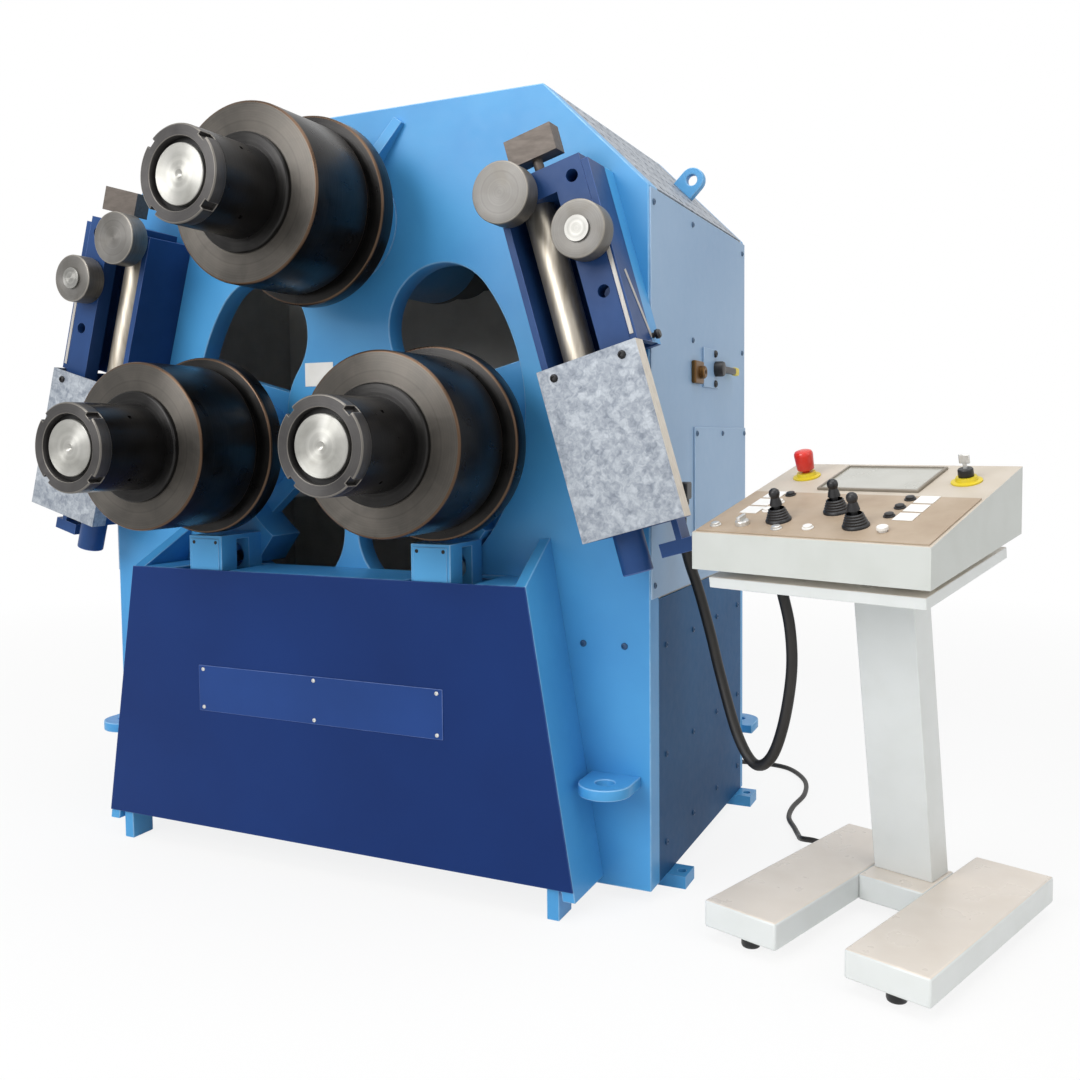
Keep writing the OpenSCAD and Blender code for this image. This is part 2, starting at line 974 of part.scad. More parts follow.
module left_arm() {
    color(paint_blue)
        at_face()
            mirror([1, 0, 0])
                on_arm()
                    arm_solid(left_knuckles);
}

module on_right_axis() {
    on_arm()
        translate([swing_r, 0, 0])
            children();
}

module on_left_axis() {
    mirror([1, 0, 0])
        on_right_axis()
            children();
}

module right_arm_bearings() {
    color(steel)
        at_face()
            on_right_axis()
                tube_bearings();
}

module left_arm_bearings() {
    color(steel)
        at_face()
            on_left_axis()
                tube_bearings();
}

module right_gearmotor() {
    color(black)
        at_face()
            on_right_axis()
                gearmotor();
}

module left_gearmotor() {
    color(black)
        at_face()
            on_left_axis()
                gearmotor();
}

// Shaft with its end disc, roll seat, shoulder, journal and tail
module shaft_solid() {
    drill_r = 9;
    turned([
        [0, nut_front - end_short - drill_r], [drill_r, nut_front - end_short],
        [end_d / 2, nut_front - end_short], [end_d / 2, nut_front - thread_short],
        [shaft_d / 2, nut_front - thread_short], [shaft_d / 2, seat_out],
        [shoulder_d / 2, seat_out], [shoulder_d / 2, seat_out - shoulder_t],
        [journal_d / 2, seat_out - shoulder_t], [journal_d / 2, -tube_l],
        [tail_d / 2, -tube_l], [tail_d / 2, -tube_l - tail_l], [0, -tube_l - tail_l]
    ]);
}

// Roll with its flange, groove and collar, and the spacer sleeve in front of it
module roll_set_solids() {
    bore = shaft_d / 2 + seat_fit;
    turned([
        [bore, seat_out], [collar_d / 2, seat_out], [collar_d / 2, hub_front],
        [flange_d / 2 - edge, hub_front], [flange_d / 2, hub_front + edge],
        [flange_d / 2, flange_front - edge], [flange_d / 2 - edge, flange_front],
        [groove_d / 2, flange_front], [groove_d / 2, groove_front], [roll_d / 2, groove_front],
        [roll_d / 2, face_front - edge], [roll_d / 2 - edge, face_front],
        [collar_d / 2, face_front], [collar_d / 2, collar_front], [bore, collar_front]
    ]);
    turned([
        [bore, collar_front + joint_gap], [sleeve_d / 2, collar_front + joint_gap],
        [sleeve_d / 2, sleeve_front - joint_gap], [bore, sleeve_front - joint_gap]
    ]);
}

// Slotted nut that clamps the roll and the sleeve
module lock_nut_solid() {
    notch_w = 18;
    notch_h = 9;
    difference() {
        turned([
            [shaft_d / 2 + seat_fit, sleeve_front], [sleeve_d / 2, sleeve_front],
            [sleeve_d / 2, nut_front - 2], [sleeve_d / 2 - 2, nut_front],
            [shaft_d / 2 + seat_fit, nut_front]
        ]);
        for (a = [45:90:315])
            rotate([0, a, 0])
                box([-notch_w / 2, -nut_front - 1, sleeve_d / 2 - notch_h],
                    [notch_w / 2, 1 - sleeve_front - 4, sleeve_d]);
    }
}

module top_shaft() {
    color(steel)
        at_face()
            on_top_axis()
                shaft_solid();
}

module top_roll_set() {
    color(roll_steel)
        at_face()
            on_top_axis()
                roll_set_solids();
}

module top_lock_nut() {
    color(steel)
        at_face()
            on_top_axis()
                lock_nut_solid();
}

module left_shaft() {
    color(steel)
        at_face()
            on_left_axis()
                shaft_solid();
}

module left_roll_set() {
    color(roll_steel)
        at_face()
            on_left_axis()
                roll_set_solids();
}

module left_lock_nut() {
    color(steel)
        at_face()
            on_left_axis()
                rotate([0, rest_angle, 0])
                    lock_nut_solid();
}

module right_shaft() {
    color(steel)
        at_face()
            on_right_axis()
                shaft_solid();
}

module right_roll_set() {
    color(roll_steel)
        at_face()
            on_right_axis()
                roll_set_solids();
}

module right_lock_nut() {
    color(steel)
        at_face()
            on_right_axis()
                rotate([0, rest_angle, 0])
                    lock_nut_solid();
}

// Frame of the right lift cylinder: the rod's pin at the origin, the rod along +Z
module on_lift() {
    translate([lug_x + rod_offset * sin(cyl_angle), lift_y, lug_z - rod_offset * cos(cyl_angle)])
        rotate([0, 90 - cyl_angle, 0])
            children();
}

module lift_cylinders() {
    neck_l = 30;
    mount_side = cyl_d / 2 + 6;
    mount_front = cyl_d / 2 + 2;
    color(steel)
        at_face()
            both_sides()
                on_lift()
                    difference() {
                        union() {
                            translate([0, 0, barrel_low])
                                cylinder(d = cyl_d, h = barrel_top - barrel_low);
                            box([-mount_side, -mount_front, mount_low],
                                [mount_side, -lift_y, mount_low + mount_l]);
                        }
                        translate([0, 0, piston_low - 5])
                            cylinder(d = cyl_d - 2 * bore_wall, h = barrel_top - neck_l - piston_low + 5);
                        translate([0, 0, barrel_top - neck_l - 1])
                            cylinder(d = rod_d + 2 * run_fit, h = neck_l + 2);
                    }
}

// Piston, rod, eye and cross pin
module lift_rod_solid() {
    translate([0, 0, piston_low])
        cylinder(d = cyl_d - 2 * bore_wall - 2 * piston_gap, h = piston_t);
    translate([0, 0, piston_low + piston_t / 2])
        cylinder(d = rod_d, h = -piston_low - piston_t / 2);
    y_rod(rod_eye_r, -rod_eye_t / 2, rod_eye_t / 2);
    y_rod(lift_pin_r, lug_front - lift_y + 4, lug_back - lift_y - 4);
}

module right_lift_rod() {
    color(zinc)
        at_face()
            on_lift()
                lift_rod_solid();
}

module left_lift_rod() {
    color(zinc)
        at_face()
            mirror([1, 0, 0])
                on_lift()
                    lift_rod_solid();
}

// Frame of the right guide beam: across the beam along X, along the beam along Z
module on_guide() {
    translate([guide_x, 0, guide_z])
        rotate([0, -guide_lean, 0])
            children();
}

// Channel with deep walls above the cover plate and a set-back outer wall behind it
module guide_beams() {
    inner = beam_w / 2 - beam_t;
    low = -guard_h / 2;
    high = guard_h / 2;
    bracket_in = 20;
    bracket_out = 95;
    bracket_neck = 60;
    bracket_front = low_wall_d;
    bracket_back = 40;
    bracket_drop = 42;
    bracket_t = 30;
    color(deep_blue)
        at_face()
            both_sides()
                on_guide()
                    union() {
                        box([-beam_w / 2, -channel_t, low], [low_wall_u + beam_t, 0, high]);
                        box([-beam_w / 2, -channel_t, high - 1], [beam_w / 2, 0, beam_up]);
                        box([-beam_w / 2, -beam_d, low], [-inner, 0, high]);
                        box([-beam_w / 2, -rail_d, high - 1], [-inner, 0, beam_up]);
                        box([inner, -rail_d, high + pass_gap], [beam_w / 2, 0, beam_up]);
                        box([low_wall_u, -low_wall_d, low], [low_wall_u + beam_t, 0, high]);
                        box([bracket_in, -bracket_front, low - bracket_drop - bracket_t],
                            [bracket_out, -bracket_back, low - bracket_drop]);
                        box([bracket_neck, -bracket_front, low - bracket_drop - 1],
                            [low_wall_u + beam_t, -bracket_back, low + 1]);
                    }
}

module guide_cylinders() {
    saddle = 60;
    saddles = [-150, 90];
    end_cap = 12;
    color(deep_blue)
        at_face()
            both_sides()
                on_guide()
                    difference() {
                        union() {
                            translate([cyl_u, cyl_y, cyl_low])
                                cylinder(d = guide_cyl_d, h = cyl_high - cyl_low);
                            translate([cyl_u, cyl_y, tail_low])
                                cylinder(d = guide_tail_d, h = cyl_low - tail_low + 1);
                            for (v = saddles)
                                box([cyl_u - saddle / 2, cyl_y, v],
                                    [cyl_u + saddle / 2, -channel_t, v + saddle]);
                        }
                        translate([cyl_u, cyl_y, cyl_low + end_cap])
                            cylinder(d = guide_cyl_d - 2 * cyl_wall, h = cyl_high - cyl_low - 2 * end_cap);
                        translate([cyl_u, cyl_y, cyl_high - end_cap - 1])
                            cylinder(d = guide_rod_d + 2 * run_fit, h = end_cap + 2);
                    }
}

module guide_covers() {
    color(zinc)
        at_face()
            both_sides()
                on_guide()
                    difference() {
                        box([-beam_w / 2 - guard_t, -beam_d - guard_t, -guard_h / 2],
                            [beam_w / 2 + guard_t, guard_flange - beam_d, guard_h / 2]);
                        box([-beam_w / 2, -beam_d, -guard_h / 2 - 1],
                            [beam_w / 2, guard_flange - beam_d + 1, guard_h / 2 + 1]);
                    }
}

// Holder with its pins, piston rod and top pad, in the guide's frame
module guide_holder_solids() {
    inner = beam_w / 2 - beam_t - slide_gap;
    piston_v = 10;
    piston_h = 30;
    pin_front = leg_front - roller_gap - guide_roller_w;
    plain_front = leg_front - plain_out - guide_roller_w;
    cap_t = 5;
    cap_r = guide_pin_d / 2 + 7;
    stud_r = 11;
    pad_low = head_low + head_h + pad_gap;
    pad_front = leg_front - pad_over;
    pad_back = pad_front + pad_t;
    difference() {
        union() {
            box([head_u, leg_front, head_low], [inner, head_back, head_low + head_h]);
            box([roller_lane - leg_w / 2, leg_front, leg_low], [inner, leg_front + leg_t, head_low + 1]);
        }
        for (s = [-1, 1])
            y_rod(spare_d / 2, leg_front - 1, head_back + 1, roller_lane, roller_v + s * guide_pitch);
    }
    y_rod(guide_pin_d / 2, pin_front, leg_front - joint_gap, roller_lane, roller_v);
    y_rod(cap_r, pin_front - cap_t, pin_front, roller_lane, roller_v);
    y_rod(guide_pin_d / 2, plain_front + roller_cap + end_play, leg_front - joint_gap, plain_u, plain_v);
    translate([cyl_u, cyl_y, piston_v])
        cylinder(d = guide_rod_d, h = head_low - piston_v - joint_gap);
    translate([cyl_u, cyl_y, piston_v])
        cylinder(d = guide_cyl_d - 2 * cyl_wall - 2 * piston_gap, h = piston_h);
    translate([0, (pad_front + pad_back) / 2, head_low + head_h + joint_gap])
        cylinder(r = stud_r, h = pad_gap);
    box([-pad_w / 2, pad_front, pad_low], [pad_w / 2, pad_back, pad_low + pad_h]);
}

module right_guide_holder() {
    color(deep_blue)
        at_face()
            on_guide()
                guide_holder_solids();
}

module left_guide_holder() {
    color(deep_blue)
        at_face()
            mirror([1, 0, 0])
                on_guide()
                    guide_holder_solids();
}

// Roller whose pin shows in its middle
module hub_roller_solid() {
    back = leg_front - roller_gap + end_play;
    difference() {
        y_rod(hub_roller_d / 2, back - guide_roller_w, back, roller_lane, roller_v);
        y_rod(guide_pin_d / 2 + run_fit, back - guide_roller_w - 1, back + 1, roller_lane, roller_v);
    }
}

// Roller with a closed front face
module plain_roller_solid() {
    back = leg_front - plain_out;
    difference() {
        y_rod(guide_roller_d / 2, back - guide_roller_w, back, plain_u, plain_v);
        y_rod(guide_pin_d / 2 + run_fit, back - guide_roller_w + roller_cap, back + 1, plain_u, plain_v);
    }
}

module right_hub_roller() {
    color(zinc)
        at_face()
            on_guide()
                hub_roller_solid();
}

module left_hub_roller() {
    color(zinc)
        at_face()
            mirror([1, 0, 0])
                on_guide()
                    hub_roller_solid();
}

module right_plain_roller() {
    color(steel)
        at_face()
            on_guide()
                plain_roller_solid();
}

module left_plain_roller() {
    color(steel)
        at_face()
            mirror([1, 0, 0])
                on_guide()
                    plain_roller_solid();
}

// Frame of the control desk: across along X, front to back along Y
module on_desk() {
    translate([desk_x, -desk_y, 0])
        rotate([0, 0, desk_turn])
            children();
}

// Frame of the desk's underside, from its front lower edge
module on_underside() {
    translate([0, desk_front_v, desk_low])
        rotate([desk_lean, 0, 0])
            children();
}

// Frame of the desk's sloping top, from its front upper edge
module on_top() {
    translate([0, desk_front_v, desk_low + desk_front])
        rotate([top_angle, 0, 0])
            children();
}

module console_base() {
    glide_r = 20;
    inset = 45;
    color(cream)
        at_face()
            on_desk() {
                box([joint_gap - foot_in, bar_front, glide_h],
                    [foot_in - joint_gap, bar_front + bar_l, stand_top]);
                both_sides() {
                    box([foot_in, 0, glide_h], [stand_half, stand_l, stand_top]);
                    for (v = [inset, stand_l - inset])
                        translate([stand_half - stand_foot_w / 2, v, 0])
                            cylinder(r = glide_r, h = glide_h - joint_gap);
                }
            }
}

module console_column() {
    foot_v = (column_v - desk_front_v) * cos(desk_lean) - (desk_low - stand_top) * sin(desk_lean);
    plate_low = -plate_drop - column_plate_t;
    plate_back = desk_d / cos(desk_lean) - plate_front;
    color(cream)
        at_face()
            on_desk()
                difference() {
                    on_underside() {
                        box([-column_w / 2, foot_v, -desk_low - 100],
                            [column_w / 2, foot_v + column_t, plate_low - joint_gap]);
                        box([-column_plate_w / 2, plate_front, plate_low],
                            [column_plate_w / 2, plate_back, -plate_drop]);
                        box([-spacer_w / 2, plate_front + spacer_inset, joint_gap - plate_drop],
                            [spacer_w / 2, plate_back - spacer_inset, 0]);
                    }
                    box([-stand_w, -stand_l, -stand_l], [stand_w, 2 * stand_l, stand_top]);
                    translate([boss[0], boss[1], boss_low - 80])
                        cylinder(r = boss_r + 4, h = 120);
                }
}

// Side outline of the desk, shrunk by a wall
module desk_outline(wall) {
    slope_cut = wall / cos(top_angle);
    floor_cut = wall / cos(desk_lean);
    front = desk_front_v + wall;
    back = desk_front_v + desk_d - wall;
    polygon([
        [front, desk_low + wall * tan(desk_lean) + floor_cut],
        [front, desk_low + desk_front + wall * tan(top_angle) - slope_cut],
        [back, desk_low + desk_rise + desk_back - wall * tan(top_angle) - slope_cut],
        [back, desk_low + desk_rise - wall * tan(desk_lean) + floor_cut]
    ]);
}

module desk_prism(half, wall) {
    translate([-half, 0, 0])
        rotate([90, 0, 90])
            linear_extrude(height = 2 * half)
                desk_outline(wall);
}

module console_desk() {
    color(cream)
        at_face()
            on_desk()
                difference() {
                    union() {
                        desk_prism(desk_w / 2, 0);
                        translate([boss[0], boss[1], boss_low])
                            cylinder(r = boss_r, h = 40);
                    }
                    desk_prism(desk_w / 2 - desk_wall, desk_wall);
                    on_top() {
                        box([rim - desk_w / 2, rim, -2 * desk_wall], [desk_w / 2 - rim, panel_l - rim, 1]);
                        translate([e_stop_at[0], e_stop_at[1], -20])
                            cylinder(r = stem_r + stem_gap, h = 40);
                        translate([key_at[0], key_at[1], -20])
                            cylinder(r = stem_r + run_fit, h = 40);
                    }
                    translate([boss[0], boss[1], boss_low - 1])
                        cylinder(d = trunk_d, h = 60);
                }
}

// Panel with its bored places, fixed buttons, boots, rings and screen
module control_panel() {
    color("#b9a58f")
        at_face()
            on_desk()
                on_top()
                    translate([0, 0, joint_gap]) {
                        difference() {
                            box([panel_margin - desk_w / 2, panel_margin, 0],
                                [desk_w / 2 - panel_margin, panel_l, panel_t]);
                            for (p = joysticks)
                                translate([p[0], p[1], -1])
                                    cylinder(r = ball_r + ball_gap, h = panel_t + 2);
                            translate([start_at[0], start_at[1], -1])
                                cylinder(r = stem_r + stem_gap, h = panel_t + 2);
                            translate([selector_at[0], selector_at[1], -1])
                                cylinder(r = stem_r + run_fit, h = panel_t + 2);
                        }
                        for (p = fixed_buttons)
                            translate([p[0], p[1], panel_t + joint_gap])
                                cylinder(r = button_r, h = button_h, $fn = 24);
                        for (p = joysticks)
                            translate([p[0], p[1], panel_t + joint_gap])
                                difference() {
                                    cylinder(r1 = boot_r, r2 = boot_top_r, h = boot_h);
                                    translate([0, 0, -1])
                                        cylinder(r = boot_bore_r, h = boot_h + 2);
                                }
                        for (p = [e_stop_at, key_at])
                            translate([p[0], p[1], 0])
                                difference() {
                                    cylinder(r = ring_r, h = ring_h);
                                    translate([0, 0, -1])
                                        cylinder(r = stem_r + stem_gap, h = ring_h + 2);
                                }
                        translate([screen_at[0] - screen_w / 2, screen_at[1] - screen_l / 2, 0])
                            cube([screen_w, screen_l, screen_t]);
                    }
}

// Places a control on the desk's sloping top
module control_at(p) {
    at_face()
        on_desk()
            on_top()
                translate([p[0], p[1], 0])
                    children();
}

module e_stop() {
    travel = 6;
    neck_r = 19;
    head_r = 21;
    crown_r = 15;
    head_h = 36;
    crown_h = 8;
    lift = ring_h + travel + 2 * joint_gap;
    color("#d8321f")
        control_at(e_stop_at) {
            translate([0, 0, -desk_wall - stem_below])
                cylinder(r = stem_r, h = desk_wall + stem_below + lift + 1);
            translate([0, 0, lift])
                cylinder(r1 = neck_r, r2 = head_r, h = head_h);
            translate([0, 0, lift + head_h])
                cylinder(r1 = head_r, r2 = crown_r, h = crown_h);
        }
}

module key_switch() {
    body_r = 15;
    body_h = 16;
    key_t = 5;
    key_w = 22;
    key_h = 30;
    color(black)
        control_at(key_at) {
            translate([0, 0, -desk_wall - stem_below])
                cylinder(r = stem_r, h = desk_wall + stem_below + ring_h + 1);
            translate([0, 0, ring_h + end_play])
                cylinder(r = body_r, h = body_h);
            translate([-key_w / 2, -key_t / 2, ring_h + body_h])
                cube([key_w, key_t, key_h]);
        }
}

// Lever with a ball knob and a ball seat in the panel
module joystick(p) {
    knob_h = 58;
    knob_r = 13;
    color(black)
        control_at(p) {
            translate([0, 0, panel_t / 2])
                sphere(r = ball_r, $fn = 32);
            translate([0, 0, panel_t / 2])
                cylinder(r = lever_r, h = knob_h - panel_t / 2);
            translate([0, 0, knob_h])
                sphere(r = knob_r, $fn = 32);
        }
}

module left_joystick() {
    joystick(joysticks[0]);
}

module middle_joystick() {
    joystick(joysticks[1]);
}

module right_joystick() {
    joystick(joysticks[2]);
}

module start_button() {
    travel = 4;
    color(zinc)
        control_at(start_at) {
            translate([0, 0, -stem_below])
                cylinder(r = stem_r, h = stem_below + panel_t + travel + 1);
            translate([0, 0, panel_t + travel])
                cylinder(r = button_r, h = button_h);
        }
}

module selector_knob() {
    knob_r = 14;
    knob_h = 10;
    grip_t = 8;
    grip_w = 26;
    grip_h = 10;
    color(steel)
        control_at(selector_at) {
            translate([0, 0, -stem_below])
                cylinder(r = stem_r, h = stem_below + panel_t + 1);
            translate([0, 0, panel_t + end_play])
                cylinder(r = knob_r, h = knob_h);
            translate([-grip_t / 2, -grip_w / 2, panel_t + knob_h])
                cube([grip_t, grip_w, grip_h]);
        }
}

module main_switch() {
    base_x = outside + switch_plate_t + end_play;
    inside = 6;
    knob_r = 20;
    knob_t = 24;
    lever_w = 22;
    lever_in = 6;
    lever_out = 20;
    color(black)
        at_face() {
            translate([half_w - inside, switch_y, switch_z])
                rotate([0, 90, 0])
                    cylinder(r = switch_stem_r, h = base_x - half_w + inside + 1);
            translate([base_x, switch_y, switch_z])
                rotate([0, 90, 0])
                    cylinder(r = knob_r, h = knob_t);
            box([base_x + lever_in, switch_y, switch_z - lever_w / 2],
                [base_x + lever_out, switch_y + lever_l, switch_z + lever_w / 2]);
        }
}

// Round gland with a bore for its cable, along +Z
module gland(r, cable_d, l) {
    grip = 6;
    difference() {
        cylinder(r = r, h = l);
        translate([0, 0, -1])
            cylinder(d = cable_d - grip, h = l + 2);
    }
}

module cable_glands() {
    box_low = trunk_exit[2] + gland_l;
    trunk_r = trunk_d / 2 + 6;
    floor_r = floor_cable_d / 2 + 5;
    color(black)
        at_face() {
            box([outside, trunk_exit[1] - trunk_box / 2, box_low],
                [trunk_exit[0] + trunk_box / 2, trunk_exit[1] + trunk_box / 2, box_low + trunk_box]);
            translate(trunk_exit)
                gland(trunk_r, trunk_d, gland_l);
            translate([rear_exit[0], body_d, rear_exit[1]])
                rotate([-90, 0, 0])
                    gland(floor_r, floor_cable_d, gland_l);
            on_desk() {
                translate([-stand_half - gland_l, stand_gland_v, glide_h + stand_t / 2])
                    rotate([0, 90, 0])
                        gland(floor_r, floor_cable_d, gland_l);
                translate([boss[0], boss[1], boss_low - gland_l])
                    gland(trunk_r, trunk_d, gland_l);
            }
        }
}

function unit(v) = v / norm(v);

// Point on a smooth curve through the route's points
function route_point(p, i, t) =
    let (
        a = p[max(i - 1, 0)],
        b = p[i],
        c = p[i + 1],
        d = p[min(i + 2, len(p) - 1)]
    )
    0.5 * (2 * b + (c - a) * t + (2 * a - 5 * b + 4 * c - d) * t * t + (3 * b - a - 3 * c + d) * t * t * t);

function route_points(p, steps) = concat(
    [for (i = [0:len(p) - 2], k = [0:steps - 1]) route_point(p, i, k / steps)],
    [p[len(p) - 1]]
);

function ring(centre, along, ref, r, sides) =
    let (
        a = unit(cross(along, ref)),
        b = cross(a, along)
    )
    [for (k = [0:sides - 1]) centre + r * (cos(360 * k / sides) * a + sin(360 * k / sides) * b)];

// Round tube along a route, turned about a reference direction that it never follows
module cord(route, d, ref, steps = 4, sides = 10) {
    p = route_points(route, steps);
    last = len(p) - 1;
    points = [
        for (i = [0:last])
            let (along = unit(p[min(i + 1, last)] - p[max(i - 1, 0)]))
            each ring(p[i], along, ref, d / 2, sides)
    ];
    walls = [
        for (i = [0:last - 1], k = [0:sides - 1])
            let (
                a = i * sides + k,
                b = i * sides + (k + 1) % sides
            )
            each [[a, a + sides, b], [b, a + sides, b + sides]]
    ];
    ends = [
        for (k = [1:sides - 2])
            each [[0, k, k + 1], [last * sides, last * sides + k + 1, last * sides + k]]
    ];
    polyhedron(points, concat(walls, ends));
}

module trunk_cable() {
    color(black)
        at_face()
            cord(trunk_route, trunk_d, [0.5, 0.87, 0]);
}

module floor_cable() {
    color(black)
        at_face()
            cord(floor_route, floor_cable_d, [0, 0, 1]);
}

front_plate();
rear_plate();
base_frame();
left_side_cover();
right_side_cover();
roof_cover();
slope_grilles();
lifting_lugs();
front_gussets();
front_shelf();
front_cover();
cover_screws();
top_housing();
top_bearings();
top_gearmotor();
pivot_pin();
oil_tank();
pump_unit();
lift_cylinders();
guide_beams();
guide_cylinders();
guide_covers();
console_base();
console_column();
console_desk();
control_panel();
cable_glands();
trunk_cable();
floor_cable();
top_shaft();
top_roll_set();
top_lock_nut();
left_shaft();
left_roll_set();
left_lock_nut();
right_shaft();
right_roll_set();
right_lock_nut();
left_arm();
left_arm_bearings();
left_gearmotor();
right_arm();
right_arm_bearings();
right_gearmotor();
left_lift_rod();
right_lift_rod();
left_guide_holder();
left_plain_roller();
left_hub_roller();
right_guide_holder();
right_plain_roller();
right_hub_roller();
main_switch();
e_stop();
key_switch();
left_joystick();
middle_joystick();
right_joystick();
start_button();
selector_knob();
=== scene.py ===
"""Angle roll bender: fine shapes, finishes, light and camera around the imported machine."""

import logging
import math
from collections.abc import Callable, Iterable, Sequence
from dataclasses import dataclass
from enum import Enum, IntEnum

import bmesh
import bpy
from bmesh.types import BMesh, BMFace
from mathutils import Matrix, Vector

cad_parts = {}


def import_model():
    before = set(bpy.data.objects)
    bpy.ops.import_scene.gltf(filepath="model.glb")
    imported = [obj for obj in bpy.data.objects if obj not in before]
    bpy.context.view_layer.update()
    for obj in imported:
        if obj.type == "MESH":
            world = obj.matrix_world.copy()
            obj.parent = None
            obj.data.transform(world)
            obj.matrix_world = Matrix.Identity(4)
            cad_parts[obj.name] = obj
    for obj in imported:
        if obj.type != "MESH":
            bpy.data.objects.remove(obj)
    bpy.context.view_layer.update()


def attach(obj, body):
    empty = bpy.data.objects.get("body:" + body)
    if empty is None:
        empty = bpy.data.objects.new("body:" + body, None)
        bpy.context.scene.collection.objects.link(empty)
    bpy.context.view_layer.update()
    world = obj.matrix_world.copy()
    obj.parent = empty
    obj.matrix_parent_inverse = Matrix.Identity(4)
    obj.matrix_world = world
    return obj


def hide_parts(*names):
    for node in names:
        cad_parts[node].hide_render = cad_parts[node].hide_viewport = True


LOG = logging.getLogger("roll_bender")

Pair = tuple[float, float]
Point = tuple[float, float, float]
Box = tuple[Point, Point]
Profile = Sequence[Pair]
FaceRule = Callable[[BMFace], int]
Socket = bpy.types.NodeSocket

# The front plate's face, measured from the middle of the anchor holes
FACE_Y = -0.460
# Edges that turn by more than this are corners, and smaller turns belong to a curve
CORNER = math.radians(34)
# Edges that turn by less than this lie in a flat area
FLAT = math.radians(0.5)
# Turns that lay +Z to the front, to the back and to the right
FORWARD = Matrix.Rotation(math.pi / 2, 4, "X")
BACKWARD = Matrix.Rotation(-math.pi / 2, 4, "X")
SIDEWAYS = Matrix.Rotation(math.pi / 2, 4, "Y")


class Side(Enum):
    """Left or right half of the machine, by the sign of X."""

    LEFT = -1
    RIGHT = 1

    @classmethod
    def of(cls, x: float) -> "Side":
        """Gives the half that a place across the machine lies in."""
        return cls.LEFT if x < 0 else cls.RIGHT

    @property
    def label(self) -> str:
        """First part of the names of this side's nodes and bodies."""
        return self.name.lower()

    @property
    def mirror(self) -> Matrix:
        """Turns a right-hand place into one on this side."""
        return Matrix.Diagonal((self.value, 1.0, 1.0, 1.0))


class HolderPart(IntEnum):
    """Kind of a solid in a guide's holder, as its material number."""

    BLOCK = 0
    ROD = 1
    PIN = 2
    PAD = 3


def linear(code: str) -> tuple[float, float, float, float]:
    """Turns an sRGB colour into linear light.

    Args:
        code: Colour as a hex value such as "#4a97d3".

    Returns:
        Linear red, green and blue, and full opacity.
    """
    parts = [int(code[i : i + 2], 16) / 255 for i in (1, 3, 5)]
    light = [p / 12.92 if p <= 0.04045 else ((p + 0.055) / 1.055) ** 2.4 for p in parts]
    return light[0], light[1], light[2], 1.0


def add(
    tree: bpy.types.NodeTree,
    kind: str,
    inputs: dict[str | int, object] | None = None,
    **settings: object,
) -> bpy.types.Node:
    """Adds one shader node with its settings, values and links.

    Args:
        tree: Node tree of a material or of the world.
        kind: Node type without its "ShaderNode" prefix.
        inputs: Value, or socket to link, for each input's name or number.
        settings: Properties of the node itself.

    Returns:
        The new node.
    """
    node = tree.nodes.new("ShaderNode" + kind)
    for name, value in settings.items():
        setattr(node, name, value)
    for key, value in (inputs or {}).items():
        if isinstance(value, bpy.types.NodeSocket):
            tree.links.new(value, node.inputs[key])
        else:
            node.inputs[key].default_value = value
    return node


@dataclass(frozen=True)
class Finish:
    """A surface finish that becomes one material."""

    name: str
    colour: str
    roughness: float
    metallic: float = 0.0

    def material(self) -> bpy.types.Material:
        """Makes the material, or finds the one made before.

        Returns:
            Material named for this finish.
        """
        found = bpy.data.materials.get(self.name)
        if found is not None:
            return found
        made = bpy.data.materials.new(self.name)
        made.use_nodes = True
        shader = made.node_tree.nodes["Principled BSDF"]
        shader.inputs["Base Color"].default_value = linear(self.colour)
        shader.inputs["Roughness"].default_value = self.roughness
        shader.inputs["Metallic"].default_value = self.metallic
        self.dress(made.node_tree, shader)
        return made

    def dress(self, tree: bpy.types.NodeTree, shader: bpy.types.Node) -> None:
        """Adds the finish's pattern; a finish of its own kind fills this in."""

    def tone(
        self, tree: bpy.types.NodeTree, value: Socket, band: Pair, codes: tuple[str, str]
    ) -> Socket:
        """Goes from one colour to another as a value crosses a band.

        Args:
            tree: Node tree of the material.
            value: The value.
            band: Where it leaves the first colour and where it reaches the second.
            codes: First and second colour.

        Returns:
            The colour.
        """
        low, high = band
        share = add(tree, "MapRange", {"Value": value, 1: low, 2: high}).outputs[0]
        first, second = (linear(code) for code in codes)
        return add(tree, "Mix", {0: share, 6: first, 7: second}, data_type="RGBA").outputs[2]

    def rub(
        self, tree: bpy.types.NodeTree, colour: Socket, share: Socket | float, code: str
    ) -> Socket:
        """Shows another colour on the rounded corners.

        Args:
            tree: Node tree of the material.
            colour: Colour of the rest.
            share: How much of the other colour shows on a corner.
            code: The other colour.

        Returns:
            The colour.
        """
        edge = add(tree, "Attribute", attribute_name="wear").outputs["Fac"]
        worn = add(tree, "Math", {0: edge, 1: share}, operation="MULTIPLY").outputs[0]
        mix = {0: worn, 6: colour, 7: linear(code)}
        return add(tree, "Mix", mix, data_type="RGBA").outputs[2]

    def lay(
        self,
        shader: bpy.types.Node,
        colour: Socket,
        gloss: tuple[Socket, float, float],
        relief: tuple[Socket, float, float],
    ) -> None:
        """Links a pattern's colour, gloss and relief to the shader.

        Args:
            shader: The material's shader.
            colour: Colour of the pattern.
            gloss: A value, and what is added to the roughness where it is 0 and where it is 1.
            relief: Height of the pattern, its strength, and its depth in metres.
        """
        tree = shader.id_data
        value, start, end = gloss
        rough = {"Value": value, 3: self.roughness + start, 4: self.roughness + end}
        height, strength, depth = relief
        bump = {"Height": height, "Strength": strength, "Distance": depth}
        tree.links.new(colour, shader.inputs["Base Color"])
        tree.links.new(add(tree, "MapRange", rough).outputs[0], shader.inputs["Roughness"])
        tree.links.new(add(tree, "Bump", bump).outputs["Normal"], shader.inputs["Normal"])


